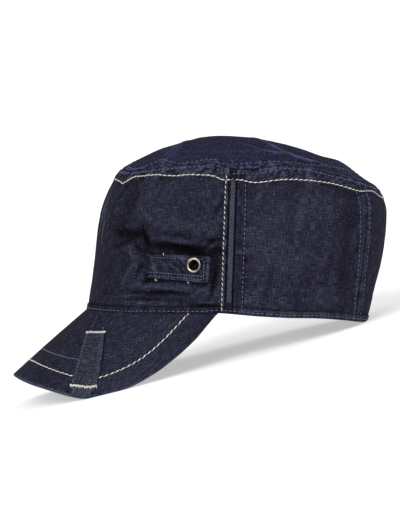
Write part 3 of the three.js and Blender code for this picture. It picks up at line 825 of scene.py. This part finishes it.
def wallFadeAndShading(angle, height, relief, nearEdge):
    look, girth = wallLook, girthAt(angle)
    up, down = height - rimHeight(angle), topSeamHeight(angle) - height
    away = angleAway(angle)
    behind = girthAt(away - seams["side"], "side")
    # painted shade in the broad hollows of the large folds, with a little wear on their crests, at most
    # foldWearMost
    folds = raisedOrSunk(relief + wallFold(angle, height), 1.0, 160)
    fadeAndShading = raisedOrSunk(relief, look["crestWear"])
    fadeAndShading += look["foldShadeAndWear"] * np.minimum(folds, look["foldWearMost"])
    fadeAndShading += look["topEdgeWear"] * bell(down - 1.6, 0.9)
    puckers = unevenness(girth + 0.8 * down, down * 0.7, 1.9, 22)
    fadeAndShading += look["topBandPuckers"] * puckers * (1 - ramp(down, 5, 8))
    # painted shade and highlights from the patch table, and the tab's painted shadow on the wall under and
    # just beside it
    fadeAndShading -= wallFold(angle, height, paintedShadeAndTone) * wearersLeft(angle) + look["paintedTabShadow"] * underTab(angle, height)
    fadeAndShading -= look["hemDark"] * (1 - ramp(up, 4, 6.5)) * (away < 82)
    fadeAndShading -= look["seamEdgeDark"] * bell(nearEdge, 1.2) * (away < 100)
    return fadeAndShading - look["besideTapeDark"] * (behind > 0) * (1 - ramp(behind, 8.2, 9.4))


def wallPanel(name, start, end, material, node, turnedCloth=0.0):
    columns = int(abs(girthAt(end - start)) / wallLook["columnGap"]) + 2
    angles = closeTogether(start, end, columns, 0.35)
    levels = closeTogether(0, wallTop, wallLook["rows"], wallLook["crowding"])
    angle, level = np.meshgrid(angles, levels)
    base, normal = crownPoint(angle, level), crownNormal(angle, level)
    height, girth = base[..., 2], girthAt(angle)
    up = height - rimHeight(angle)
    nearEdge = np.minimum(girth - girth.min(), girth.max() - girth)
    relief = wallRelief(angle, height) - wallLook["edgeTurn"] * bell(nearEdge, 0.5)
    thickness = clothFinish["thickness"] + 0.08 * unevenness(girth, up, 7, 21)
    thickness += (clothFinish["hemThickness"] - clothFinish["thickness"]) * (1 - ramp(up, 8, 9))
    fadeAndShading = wallFadeAndShading(angle, height, relief, nearEdge)
    hang = np.zeros(base.shape)
    hang[..., 2] = hemHang(angle, height)
    outer = standOff(base, normal, relief) - hang
    normal[0, :, 2] = 0  # the hem is cut square
    inner = standOff(base, normal, -thickness) - hang
    lean = math.radians(turnedCloth)
    clothPlace = (girth * math.cos(lean) + up * math.sin(lean), up * math.cos(lean) - girth * math.sin(lean))
    return clothShell(name, outer, inner, clothPlace, fadeAndShading, material, node)


frontEdge, sideEdge = seams["side"] - seams["tapeSpan"], seams["side"] + seams["tapeSpan"]
rearEdge, backEdge = seams["back"] - seams["backSpan"], seams["back"] + seams["backSpan"]
wallPanel("crown_front_cloth", -frontEdge, frontEdge, frontDenim, "crown_front")
wallPanel("crown_side_left_cloth", sideEdge, rearEdge, sideDenim, "crown_side_left", 3)
wallPanel("crown_side_right_cloth", -rearEdge, -sideEdge, sideDenim, "crown_side_right", -3)
wallPanel("crown_back_cloth", backEdge, 360 - backEdge, sideDenim, "crown_back", 1)


# Domed top

domeLook = {
    "columns": 480,
    "rings": 92,
    "crestWear": 2.2,
    "edgeWear": 0.3,
    "creaseWearAndHighlight": 0.22,
    "puckers": 0.8,
}


def domeFadeAndShading(angle, inset, plan, relief):
    look, (x, y) = domeLook, plan
    fadeAndShading = raisedOrSunk(relief, look["crestWear"]) + look["edgeWear"] * bell(inset - 1.6, 0.9)
    uneven = 0.8 + 0.5 * unevenness(x, y, 5, 37)
    # rubbed wear with a painted highlight along the crests of the creases
    for places, width, _, fadeAndShadingStrength in topRidges:
        fadeAndShading += fadeAndShadingStrength * uneven * nearLine(x, y, places, width)
    creased = sum(max(up, 0) * foldShape(x - cx, y - cy, lean, long, wide * 0.6)
                  for cx, cy, lean, long, wide, up in topCreases)
    fadeAndShading += np.minimum(look["creaseWearAndHighlight"] * creased, 0.4)
    puckers = unevenness(girthAt(angle, "dome") + inset, inset * 0.7, 2.0, 36)
    return fadeAndShading + look["puckers"] * puckers * (1 - ramp(inset, 4, 8))


def domedTop():
    columns, rings = domeLook["columns"], domeLook["rings"]
    part = np.linspace(0, 1, rings)
    levels = domeStart + (domeEnd - domeStart) * (0.45 * part + 0.55 * part**1.8)
    angle, level = np.meshgrid(np.linspace(-180, 180, columns, endpoint=False), levels)
    base, normal = crownPoint(angle, level), crownNormal(angle, level)
    relief = domeRelief(angle, level)
    outer, inner = standOff(base, normal, relief), base - normal * clothFinish["thickness"]
    fadeAndShading = domeFadeAndShading(angle, (level - 1) * span["inset"], (base[..., 0], base[..., 1]), relief)
    size = rings * columns
    middle = np.array([[0, 0, outer[-1, :, 2].mean()], [0, 0, inner[-1, :, 2].mean()]])
    points = np.concatenate([outer.reshape(-1, 3), inner.reshape(-1, 3), middle])
    faces = shellFaces(rings, columns, wrapped=True)
    faces = faces[: len(faces) - columns]  # the middle is closed by a fan instead of a hole
    last = size - columns
    for column in range(columns):
        beside = (column + 1) % columns
        faces.append([last + column, last + beside, 2 * size])
        faces.append([size + last + beside, size + last + column, 2 * size + 1])
    cloth, fadesAndShading = points * np.array([1, 1, 0]), np.concatenate([fadeAndShading.ravel(), np.zeros(size + 2)])
    makePiece("crown_top_cloth", points, faces, topDenim, cloth, fadesAndShading, "crown_top")


domedTop()


# Tapes in the side seams

tape = {
    "thickness": 2.2,
    "crown": 0.4,
    "edgeTurn": 0.5,
    "flange": 1.9,
    "endRise": 1.05,
    "columns": 15,
    "rows": 150,
}


def sideTape(name, middle, node):
    half, hand = seams["tapeHalf"], np.sign(middle)
    angles = np.linspace(middle - half, middle + half, tape["columns"])
    angle, level = np.meshgrid(angles, closeTogether(0, wallTop, tape["rows"], 0.4))
    base, normal = crownPoint(angle, level), crownNormal(angle, level)
    across, up = (angle - middle) / half, base[..., 2] - rimHeight(angle)
    sunk = 1 - ramp(across * hand, -0.9, -0.55)  # its front edge dips under the front panel
    relief = tape["crown"] * (1 - across**2) - tape["edgeTurn"] * (bell(np.abs(across) - 1, 0.14) + sunk)
    relief += 0.1 * unevenness(across * 3, up, 4.4, 41) + 0.12 * unevenness(across, up, 13, 42)
    down = topSeamHeight(angle) - base[..., 2]
    down -= tableValue(creamUnderTop, "angle", signedAngle(angle), "drop")
    bands = 1 - np.minimum(ramp(down, 0.2, 1.1), ramp(up, 7.4, 8.3))  # hem and top band lie over its ends
    relief = relief * (1 - bands) + bands * (tape["endRise"] + 0.2 * unevenness(angle * 1.4, up, 4, 44))
    under = middle + (angle - middle) * tape["flange"]  # its turned edges lie behind the panels
    inner = crownPoint(under, level) + crownNormal(under, level) * (0.1 - tape["thickness"])
    # painted shade where its front edge dips under the front panel
    fadeAndShading = 0.3 * bell(across * hand - 0.75, 0.2) + 0.2 * unevenness(across * 2, up, 9, 43) - 1.5 * sunk
    fadeAndShading = fadeAndShading * (1 - bands) - 0.6 * bands
    outer, clothPlace, ends = standOff(base, normal, relief), (across * 2.1, up), (sideDenim, bands > 0.35)
    clothShell(name, outer, inner, clothPlace, fadeAndShading, tapeTwill, node, other=ends)


sideTape("side_tape_left", seams["side"], "side_strip_left")
sideTape("side_tape_right", -seams["side"], "side_strip_right")


# Peak

peakFinish = {
    "columns": 300,
    "rows": 96,
    "edgeRows": 20,
    "thickness": 3.0,
    "edgeRound": 1.1,
    "rowPress": 0.34,
    "pucker": 0.1,
    "hills": ((0.12, 1, 1, 16, 51), (0.05, 1, 1, 4, 52)),
    "edgeWear": 1.1,
}


def stiffPeak():
    finish, edgeRows = peakFinish, peakFinish["edgeRows"]
    rolled = 1 - 0.06 * np.linspace(1, 0, edgeRows + 1)[1:] ** 1.8
    outs = np.concatenate([np.linspace(0, 0.94, finish["rows"] - edgeRows), rolled])
    share, out = np.meshgrid(np.linspace(-1, 1, finish["columns"]), outs[::-1])
    base, normal = peakPoint(share, out), peakNormal(share, out)
    edge, joint = peakPoint(share, np.ones_like(out)), peakPoint(share, np.zeros_like(out))
    reach = np.linalg.norm(edge - joint, axis=-1)
    fromEdge, girth = (1 - out) * reach, share * span["peak"]
    relief = hilly(girth, fromEdge, finish["hills"])
    rows = nearRow(share, out, peakCream, 1.0) + 0.6 * nearRow(share, out, peakBlue, 0.8)
    relief -= finish["rowPress"] * rows
    besideCream = ramp(nearRow(share, out, peakCream, 5), 0.1, 0.8)
    relief += finish["pucker"] * unevenness(girth, fromEdge, 3.6, 53) * besideCream
    roundOff = finish["edgeRound"] * (1 - np.sqrt(1 - np.clip(1 - fromEdge / 1.4, 0, 1) ** 2))
    thick = finish["thickness"] * (1 - 0.75 * ramp(np.abs(share), 0.9, 1))
    tuck = np.stack([-2.2 * np.sign(share), 0 * share, 1.5 + 1.4 * out], -1)  # its ends go up under the hem
    base = base + ramp(np.abs(share), 0.94, 1)[..., None] * tuck
    outer = standOff(base, normal, relief - roundOff)
    outer[..., 2] += 0.55 * bell(out * reach, 0.8)  # the joint reaches up to the rim
    inner = standOff(base, normal, roundOff - thick + 0.1 * unevenness(girth, fromEdge, 9, 54))
    fadeAndShading = raisedOrSunk(relief, 2.0) + finish["edgeWear"] * bell(fromEdge, 1.7)
    fadeAndShading += 0.25 * unevenness(girth, fromEdge, 30, 55) * bell(fromEdge, 20)
    clothShell("peak_cloth", outer, inner, (girth, fromEdge), fadeAndShading, peakDenim, "peak")


stiffPeak()


# Loop sewn over the peak

loop = {
    "thickness": 1.5,
    "lift": 0.35,
    "length": 74,
    "halfWidth": 8,
    "topWidth": 15.6,
    "footWidth": 18.9,
    "foldedWidth": 14.5,
    "ribs": 0.3,
    "arch": 0.35,
    "archMiddle": 26,
    "archHalf": 18,
    "topGap": 0.038,
    "topSlant": 0.035,
}


def loopMiddle(along):
    return tableValues(loopRun, "along", along, "share", "out")


def loopPlace(across, along):  # across -0.5 to 0.5, along 0 at the upper tack and 1 at the edge
    share, out = loopMiddle(along)
    ahead, behind = loopMiddle(np.minimum(along + 0.02, 1)), loopMiddle(np.maximum(along - 0.02, 0))
    run = unit(peakPoint(*ahead) - peakPoint(*behind))
    shareStep = (peakPoint(share + 0.01, out) - peakPoint(share - 0.01, out)) / 0.02
    outStep = (peakPoint(share, out + 0.01) - peakPoint(share, out - 0.01)) / 0.02
    slip = -(shareStep * run).sum(-1) / (outStep * run).sum(-1)
    cross = shareStep + outStep * slip[..., None]
    width = loop["topWidth"] + (loop["footWidth"] - loop["topWidth"]) * ramp(along, -0.3, 0.75)
    width = width + (loop["foldedWidth"] - loop["footWidth"]) * ramp(along, 0.86, 0.94)
    move = across * width / np.linalg.norm(cross, axis=-1)
    return share + move, np.minimum(out + slip * move, 0.999)


def loopArch(y):  # the loop stands a little off the peak between its tacks
    return loop["arch"] * bell(y - loop["archMiddle"], loop["archHalf"])


def peakLoop():
    columns, rows = 34, 120
    across, along = np.meshgrid(closeTogether(-0.5, 0.5, columns), 1 - closeTogether(0, 1, rows, 0.4))
    upper = loop["topGap"] + loop["topSlant"] * (across + 0.5)  # its upper end slants a little
    along = along + (1 - along) * upper
    share, out = loopPlace(across, along)
    base, normal = peakPoint(share, out), peakNormal(share, out)
    x, y = across * 2 * loop["halfWidth"], along * loop["length"]
    edge = loop["halfWidth"] - np.abs(x)
    relief = loop["thickness"] + loop["lift"] + 0.12 * unevenness(x, y, 6, 61) + loopArch(y)
    relief += loop["ribs"] * unevenness(x * 0.25, y, 2.6, 62) * bell(x, 7)
    relief += 0.3 * bell(edge - 0.8, 0.9) - 0.3 * bell(edge - 2.1, 0.6) - 0.9 * bell(edge, 0.5)
    relief -= 0.7 * bell(y - 1.5, 1.6) + 0.8 * bell(y - 62.5, 2.2)  # pulled in under the tacks
    outer, inner = standOff(base, normal, relief), base + normal * loop["lift"]
    fadeAndShading = raisedOrSunk(relief, 1.6) + 0.08 * bell(edge - 0.5, 0.7) + 0.3 * ramp(y, 63, 66)
    clothShell("peak_loop_cloth", outer, inner, (x, y), fadeAndShading, loopDenim, "peak_loop")


peakLoop()


# Tab and its eyelet

tab = {
    "thickness": 1.7,
    "gap": 0.5,
    "lift": 5.2,
    "length": 43,
    "height": 17.4,
    "ends": (-0.065, 1.02),
    "beyondTurn": 27,
    "hole": 4.3,
    "eyeletAngle": 68.2,
    "eyeletHeight": 37.6,
    "rows": 64,
    "sideSteps": (172, 70),
}


def tabPlace(along, up, out):  # along 0 at the sewn end and 1 at the free end, up 0 to 1
    beyond = along - np.clip(along, 0, 1)
    angle = tableValue(tabEnds, "along", along, "angle") + beyond * tab["beyondTurn"]
    low, high = tabEdges(along, "along")
    level = levelAt(angle, low + (high - low) * up)
    outward = crownNormal(angle, levelAt(angle, (low + high) / 2))
    base = standOff(crownPoint(angle, level), crownNormal(angle, level), tab["gap"] + np.asarray(out, float))
    lift = tableValue(tabEnds, "along", along, "lift") + np.maximum(beyond, 0) * 1.9
    return standOff(base, outward, lift * tab["lift"])


def tabFace(along, up):
    along, up = np.broadcast_arrays(np.asarray(along, float), np.asarray(up, float))
    return tabPlace(along, up, np.full(along.shape, tab["thickness"]))


firstAngle, lastAngle = tabEnds["angle"][0], tabEnds["angle"][-1]
eyeletAlong = (tab["eyeletAngle"] - firstAngle) / (lastAngle - firstAngle)
eyeletLow, eyeletHigh = (float(edge) for edge in tabEdges(eyeletAlong, "along"))
eyeletUp = (tab["eyeletHeight"] - eyeletLow) / (eyeletHigh - eyeletLow)


def tabBorder():  # the corners in turn, with even steps between them
    first, last = tab["ends"]
    corners = np.array([(first, 0), (last, 0), (last, 1), (first, 1), (first, 0)], float)
    longSide, shortSide = tab["sideSteps"]
    sides = []
    for number, count in enumerate((longSide, shortSide, longSide, shortSide)):
        part = np.linspace(0, 1, count, endpoint=False)[:, None]
        sides.append(corners[number] * (1 - part) + corners[number + 1] * part)
    return np.concatenate(sides)


def sewnTab():
    length, height = tab["length"], tab["height"]
    border, scale, hole = tabBorder(), np.array([length, height]), np.array([eyeletAlong, eyeletUp])
    ahead, above = ((border - hole) * scale).T
    turn = np.arctan2(above, ahead)
    circle = hole + tab["hole"] * np.stack([np.cos(turn), np.sin(turn)], -1) / scale
    part = closeTogether(0, 1, tab["rows"], 0.5)[:, None, None]
    spots = border * (1 - part) + circle * part
    along, up = spots[..., 0], spots[..., 1]
    x, y = along * length, up * height
    edge = np.minimum(np.minimum(y, height - y), np.minimum(length * tab["ends"][1] - x, x + 3))
    relief = 0.22 * unevenness(x, y, 7, 71) + 0.24 * unevenness(x + 0.5 * y, y, 3.2, 72)
    relief += 0.35 * bell(edge - 0.9, 0.8) - 0.3 * bell(edge - 2.4, 0.6) - 0.7 * bell(edge, 0.5)
    relief += 0.55 * foldShape(x - 21, y - 8.5, -38, 8, 1.4) - 0.5 * foldShape(x - 23.4, y - 9.2, -38, 7, 1.5)
    relief += 0.5 * unevenness(x * 1.2, y, 3.2, 73) * bell(x, 5)
    relief += 0.25 * unevenness(x, y * 0.6, 4, 74) * bell(y - 2.5, 3)
    relief -= 0.4 * bell(np.hypot(x - eyeletAlong * length, y - eyeletUp * height) - 5.4, 1.4)
    relief -= 0.5 * (1 - ramp(x, -1.5, 1.5))
    normal = normalOf(tabFace, np.clip(along, 0.02, 0.98), np.clip(up, 0.05, 0.95), 0.02, 0.04)
    outer, inner = standOff(tabFace(along, up), normal, relief), tabPlace(along, up, np.zeros(along.shape))
    fadeAndShading = np.clip(1.1 * relief, -0.6, 0.5) + 0.3 * bell(length - x, 1.2)
    fadeAndShading += 0.45 * unevenness(x + y, y, 2.4, 75)
    clothShell("eyelet_tab_cloth", outer, inner, (x, y), fadeAndShading, tabDenim, "eyelet_tab", True)


sewnTab()

eyeletSeat = tabFace(eyeletAlong, eyeletUp)
eyeletOut = normalOf(tabFace, np.array(eyeletAlong), np.array(eyeletUp), 0.1, 0.2)

eyelet = {  # radius and height of the turned section, from the back of the tube round the rolled lip
    "section": (
        (2.8, -2.3), (4.2, -2.3), (4.25, 0.05), (5.1, 0.14), (5.45, 0.28), (5.6, 0.52),
        (5.55, 0.8), (5.36, 1.04), (5.05, 1.2), (4.7, 1.24), (4.35, 1.16), (4.0, 1.0),
        (3.7, 0.76), (3.4, 0.42), (3.1, 0), (2.85, -0.8), (2.8, -2.3),
    ),
    "sectionSteps": 74,
    "segments": 96,
    "dents": 0.07,
}


def rolledEyelet():
    profile = thread(eyelet["section"], eyelet["sectionSteps"])[:-1]
    turns = np.linspace(0, 2 * np.pi, eyelet["segments"], endpoint=False)
    turn, row = np.meshgrid(turns, np.arange(len(profile)))
    radius, height = profile[row, 0], profile[row, 1]
    dent = eyelet["dents"] * unevenness(turn * 5, height * 1.5, 2.6, 81) * ramp(radius, 3.7, 4.6)
    aside = unit(np.cross(np.array([0, 0, 1.0]), eyeletOut))
    upward = np.cross(eyeletOut, aside)
    outwards = np.cos(turn)[..., None] * aside + np.sin(turn)[..., None] * upward
    points = standOff(eyeletSeat, outwards, radius + dent) + height[..., None] * eyeletOut
    index = np.pad(np.arange(turn.size).reshape(turn.shape), ((0, 1), (0, 1)), mode="wrap")
    shine = 0.35 + 0.65 * np.maximum(np.sin(turn), 0) ** 2 + 0.5 * bell(turn - 4.0, 0.6)  # painted highlight on the lip, above and below
    # the crest of the lip is rubbed lighter and carries the painted highlight
    fadeAndShading = 1.1 * bell(radius - 4.6, 0.75) * (height > 0.6) * shine
    fadeAndShading -= 0.5 * (1 - ramp(radius, 3.3, 4.0)) * (height > -1.5)
    fadeAndShading = np.clip(fadeAndShading + 0.25 * unevenness(turn * 5, height, 1.6, 82), -1, 1)
    faces = gridFaces(index).tolist()
    makePiece("rolled_eyelet", points.reshape(-1, 3), faces, agedCopper, None, fadeAndShading, "eyelet")


rolledEyelet()


# Stitches

threadWork = {"cream": [], "blue": []}
stitchLook = {
    "cream": {"pitch": 3.7, "length": 3.95, "radius": 0.36, "slant": 10, "arch": 0.26, "sink": 0.22},
    "blue": {"pitch": 3.5, "length": 2.8, "radius": 0.28, "slant": 4, "arch": 0.16, "sink": 0.28},
}
twoPly = {"offset": 0.42, "thickness": 0.66, "twist": 2.6}
rowLift = 0.12


def threadGrain(plies, rings=7, sides=6):  # one stitch of unit length and thickness
    points, faces, marks = [], [], []
    offset, thickness = (twoPly["offset"], twoPly["thickness"]) if plies > 1 else (0, 1)
    for ply in range(plies):
        start = len(points)
        for ring in range(rings):
            part = 2 * ring / (rings - 1) - 1
            plump = math.sqrt(max(1 - part**4, 0.03))
            wind = part * twoPly["twist"] + ply * math.pi
            for side in range(sides):
                turn = 2 * math.pi * side / sides
                across = plump * (offset * math.cos(wind) + thickness * math.cos(turn))
                upward = plump * (offset * math.sin(wind) + thickness * math.sin(turn))
                points.append((part / 2, across, upward))
                marks.append((part, turn))
        index = start + np.pad(np.arange(rings * sides).reshape(rings, sides), ((0, 0), (0, 1)), mode="wrap")
        faces += gridFaces(index)[:, [0, 3, 2, 1]].tolist()
        faces += [index[0, :-1].tolist(), index[-1, -2::-1].tolist()]
    return np.array(points), faces, np.array(marks)


grains = {"cream": threadGrain(2), "blue": threadGrain(1, 6, 5)}


def placeStitches(kind, middles, alongs, normals, lengths, look):
    grain, faces, marks = grains[kind]
    acrosses = np.cross(normals, alongs)
    part, radius = grain[:, 0] * 2, look["radius"]
    lift = look["arch"] * (1 - part**2) - look["sink"] * part**4
    points = (
        middles[:, None]
        + alongs[:, None] * (grain[:, 0] * lengths[:, None])[..., None]
        + acrosses[:, None] * (grain[:, 1] * radius)[:, None]
        + normals[:, None] * (grain[:, 2] * radius + lift)[:, None]
    )
    cloth = np.zeros(points.shape)
    cloth[..., 0] = marks[:, 0] * 1.8
    cloth[..., 1] = marks[:, 1]
    cloth[..., 2] = np.arange(len(middles))[:, None]
    threadWork[kind].append((points, faces, cloth))


def sewRow(kind, line, normals, seed, **changes):
    look = {**stitchLook[kind], **changes}
    run = np.concatenate([[0], np.cumsum(np.linalg.norm(np.diff(line, axis=0), axis=1))])
    count = int(run[-1] / look["pitch"])
    chance = np.random.default_rng(seed)
    places = look["pitch"] * (np.arange(count) + 0.5 + chance.uniform(-0.06, 0.06, count))

    def between(values, at):
        return np.stack([np.interp(at, run, values[:, axis]) for axis in range(3)], -1)

    alongs = unit(between(line, places + 0.8) - between(line, places - 0.8))
    outwards = between(normals, places)
    outwards = unit(outwards - alongs * (outwards * alongs).sum(1, keepdims=True))
    slant = np.radians(look["slant"] + chance.uniform(-4, 4, count))[:, None]
    alongs = alongs * np.cos(slant) + np.cross(outwards, alongs) * np.sin(slant)
    lengths = look["length"] * chance.uniform(0.92, 1.06, count)
    placeStitches(kind, between(line, places), alongs, outwards, lengths, look)


def sewWall(kind, angles, heights, seed, **changes):
    levels = levelAt(angles, heights)
    normal = crownNormal(angles, levels)
    line = standOff(crownPoint(angles, levels), normal, wallRelief(angles, heights) + rowLift)
    line[:, 2] -= hemHang(angles, heights)
    sewRow(kind, line, normal, seed, **changes)


def sewTop():
    around = np.linspace(-180, 180, 1600)
    for kind, row, seed in (("cream", creamUnderTop, 101), ("blue", blueUnderTop, 102)):
        sewWall(kind, around, topSeamHeight(around) - tableValue(row, "angle", around, "drop"), seed)
    sewWall("blue", around, rimHeight(around) + rimRow + 0.25 * unevenness(around, around * 0, 9, 83), 103)
    levels = 1 + tableValue(blueOnDome, "angle", around, "inset") / span["inset"]
    normal = crownNormal(around, levels)
    line = standOff(crownPoint(around, levels), normal, domeRelief(around, levels) + rowLift)
    sewRow("blue", line, normal, 104)


# the rows beside the upright seams: how far up they run, how far they drift forward, and their stitches
uprightRows = {
    "steps": 300,
    "foot": 0.012,
    "cream": {"top": 0.965, "drift": 0.45, "stitches": {"slant": 14, "length": 3, "radius": 0.28}},
    "blue": {"top": 0.93, "drift": 0, "stitches": {"radius": 0.33}},
    "back": {"top": 0.93, "stitches": {"radius": 0.22}},
}


def sewSeams():
    upward = np.linspace(uprightRows["foot"], 1, uprightRows["steps"])

    def sew(kind, row, straight, drift, seed):
        heights = rimHeight(straight) + (topSeamHeight(straight) - rimHeight(straight)) * upward * row["top"]
        sewWall(kind, straight - drift, heights, seed, **row["stitches"])

    for hand in (1, -1):
        for kind, gap in sideSeamRows.items():
            row = uprightRows[kind]
            straight = np.full(len(upward), hand * (seams["side"] + gap))
            sew(kind, row, straight, hand * row["drift"] * upward, 105 + hand)
        for gap in backSeamRows:
            leaning = hand * (seams["back"] + gap + backSeamSlant["foot"] - backSeamSlant["drift"] * upward)
            sew("blue", uprightRows["back"], leaning, 0, 107 + hand)


sewTop()
sewSeams()

# rows of the peak: thread, places, seed, sides of the cap and what differs from its plain stitches
peakRows = (
    ("cream", peakCream, 111, (1, -1), {"pitch": 4.4, "length": 4.7}),
    ("blue", peakBlue[:5], 114, (1, -1), {"pitch": 3.1, "length": 3.1, "radius": 0.36}),
    ("blue", peakBlue[4:], 118, (1, -1), {"radius": 0.15}),
    # two short rows show where the loop's upper end is caught under the peak's cloth
    ("blue", ((0.251, 0.055), (0.318, 0.22)), 151, (1,), {"radius": 0.2}),
    ("blue", ((0.41, 0.11), (0.435, 0.205)), 154, (1,), {"radius": 0.2}),
)


def sewPeak():
    lift = rowLift - peakFinish["rowPress"] * 0.5
    for kind, places, seed, hands, changes in peakRows:
        for hand in hands:
            share, out = (thread(places, 400) * np.array([hand, 1])).T
            normal = peakNormal(share, out)
            sewRow(kind, peakPoint(share, out) + normal * lift, normal, seed + hand, **changes)


sewPeak()

loopRows = {"across": 0.37, "lift": 0.1, "stitches": {"pitch": 2.5, "length": 1.9, "radius": 0.3}}
# dense satin bars over the loop's ends: place along, fall, length of a stitch, share of the width, seed
barTacks = (
    (0.08, 0.048, 2.6, 0.98, 131),
    (0.862, -0.05, 3.0, 1.02, 132),
)
tackLook = {"stitches": 34, "radius": 0.29, "arch": 0.3, "sink": 0.7}


def sewLoop():
    top = loop["thickness"] + loop["lift"] + loopRows["lift"]
    for edge in (-1, 1):
        along = np.linspace(0.01, 0.99, 300)
        share, out = loopPlace(np.full(300, edge * loopRows["across"]), along)
        normal = peakNormal(share, out)
        line = standOff(peakPoint(share, out), normal, top + loopArch(along * loop["length"]))
        sewRow("blue", line, normal, 120 + edge, **loopRows["stitches"])
    for along, fall, length, width, seed in barTacks:
        chance = np.random.default_rng(seed)
        count = tackLook["stitches"]
        spots = np.linspace(-0.5, 0.5, count)
        tilt = chance.uniform(-0.75, 0.75, count)
        share, out = loopPlace(spots * width, along + fall * spots)
        normal = peakNormal(share, out)
        line = peakPoint(share, out) + normal * top
        run = unit(np.gradient(line, axis=0))
        cross = np.cross(normal, run)
        direction = unit(cross + run * (0.35 + tilt)[:, None])
        lengths = length * chance.uniform(0.66, 1.12, count)
        middles = line + cross * chance.uniform(-0.5, 0.5, count)[:, None]
        placeStitches("cream", middles, direction, normal, lengths, tackLook)


sewLoop()

# rows of the tab, each between two places along and up it
tabRows = (
    ((0.05, 0.97), (0.87, 0.87)),
    ((0.04, 0.96), (0.13, 0.13)),
    ((0.05, 0.95), (0.26, 0.26)),
    ((0.955, 0.955), (0.12, 0.88)),
)
tabStitches = {"pitch": 2.3, "length": 1.8, "radius": 0.29}
# ends of cream thread that peep out at the tab's edge: along, up, lean, length
looseEnds = (
    (0.27, 1.0, 0.15, 2.2),
    (0.15, -0.03, -0.5, 1.7),
    (0.17, -0.06, 0.9, 1.3),
    (0.73, -0.03, 1.2, 1.9),
)
looseLook = {"radius": 0.26, "arch": 0.1, "sink": 0.3}


def sewTab():
    for number, (alongs, ups) in enumerate(tabRows):
        along, up = np.linspace(*alongs, 300), np.linspace(*ups, 300)
        normal = normalOf(tabFace, along, up, 0.02, 0.04)
        sewRow("blue", tabFace(along, up) + normal * 0.05, normal, 140 + number, **tabStitches)
    for along, up, lean, length in looseEnds:
        place, normal = tabFace(along, up), normalOf(tabFace, np.array(along), np.array(0.5), 0.1, 0.2)
        upward = unit(np.array([0, 0, 1.0]) - normal * normal[2])
        direction = upward * math.cos(lean) + np.cross(normal, upward) * math.sin(lean)
        placeStitches("cream", place[None], direction[None], normal[None], np.array([length]), looseLook)


sewTab()


def finishThreads(kind, material):
    points, faces, cloth, start = [], [], [], 0
    for stitches, grainFaces, marks in threadWork[kind]:
        for stitch in stitches:
            faces.extend([start + corner for corner in face] for face in grainFaces)
            start += len(stitch)
        points.append(stitches.reshape(-1, 3))
        cloth.append(marks.reshape(-1, 3))
    makePiece(f"{kind}_stitches", np.concatenate(points), faces, material, np.concatenate(cloth))


finishThreads("cream", creamThread)
finishThreads("blue", blueThread)


# Table, light and camera

studio = {
    "floor": 0.82,
    "floorHalf": 7,
    "glow": 0.46,  # the table is lit from below too
    "world": 0.5,
    "softness": 35,
    "key": {"strength": 2.1, "from": (1.0, -0.42, 0.62)},
    "fill": {"strength": 0.35, "from": (1.0, 0.5, 0.3)},
}


def addToScene(name, data):
    item = bpy.data.objects.new(name, data)
    bpy.context.scene.collection.objects.link(item)
    return item


def setStudio():
    half, white = studio["floorHalf"], (1, 1, 1, 1)
    mesh = bpy.data.meshes.new("paleTable")
    corners = [(-half, -half, 0), (half, -half, 0), (half, half, 0), (-half, half, 0)]
    mesh.from_pydata(corners, [], [(0, 1, 2, 3)])
    material, tree, shader = newMaterial("paleTable")
    setInputs(tree, shader, {
        "Base Color": (studio["floor"], studio["floor"], studio["floor"], 1),
        "Roughness": 0.9,
        "Specular IOR Level": 0.1,
        "Emission Color": white,
        "Emission Strength": studio["glow"],
    })
    mesh.materials.append(material)
    addToScene("pale_table", mesh)
    world = bpy.data.worlds.new("studioAir")
    world.use_nodes = True
    setInputs(world.node_tree, world.node_tree.nodes["Background"], {0: white, 1: studio["world"]})
    bpy.context.scene.world = world
    for name in ("key", "fill"):
        lamp = bpy.data.lights.new(name + "Light", "SUN")
        lamp.energy = studio[name]["strength"]
        lamp.angle = math.radians(studio["softness"])
        lampObject = addToScene(name + "_light", lamp)
        lampObject.rotation_euler = Vector(studio[name]["from"]).to_track_quat("Z", "Y").to_euler()


setStudio()

photoView = {
    "azimuth": 84,
    "elevation": 2.5,
    "roll": 2.05,
    "across": -21.45,
    "up": 42.7,
    "distance": 10000,
    "frameHeight": 366.3,
    "sensor": 36,
}


def setCamera():
    view = photoView
    turn, rise, roll = (math.radians(view[name]) for name in ("azimuth", "elevation", "roll"))
    toCamera = np.array([math.sin(turn) * math.cos(rise), -math.cos(turn) * math.cos(rise), math.sin(rise)])
    level = np.array([math.cos(turn), math.sin(turn), 0])
    above = np.cross(toCamera, level)
    right = level * math.cos(roll) + above * math.sin(roll)
    up = above * math.cos(roll) - level * math.sin(roll)
    place = layOnTable(level * view["across"] + above * view["up"] + toCamera * view["distance"])
    camera = bpy.data.cameras.new("photoCamera")
    camera.sensor_width = view["sensor"]
    camera.lens = view["sensor"] * view["distance"] / view["frameHeight"]
    camera.clip_end = 60
    cameraObject = addToScene("photo_camera", camera)
    axes = Matrix(leanOver(np.array([right, up, toCamera])).tolist()).transposed()
    cameraObject.matrix_world = Matrix.Translation(Vector(place)) @ axes.to_4x4()
    bpy.context.scene.camera = cameraObject


setCamera()
bpy.context.scene.view_settings.view_transform = "Standard"

print("cap: scene ready")
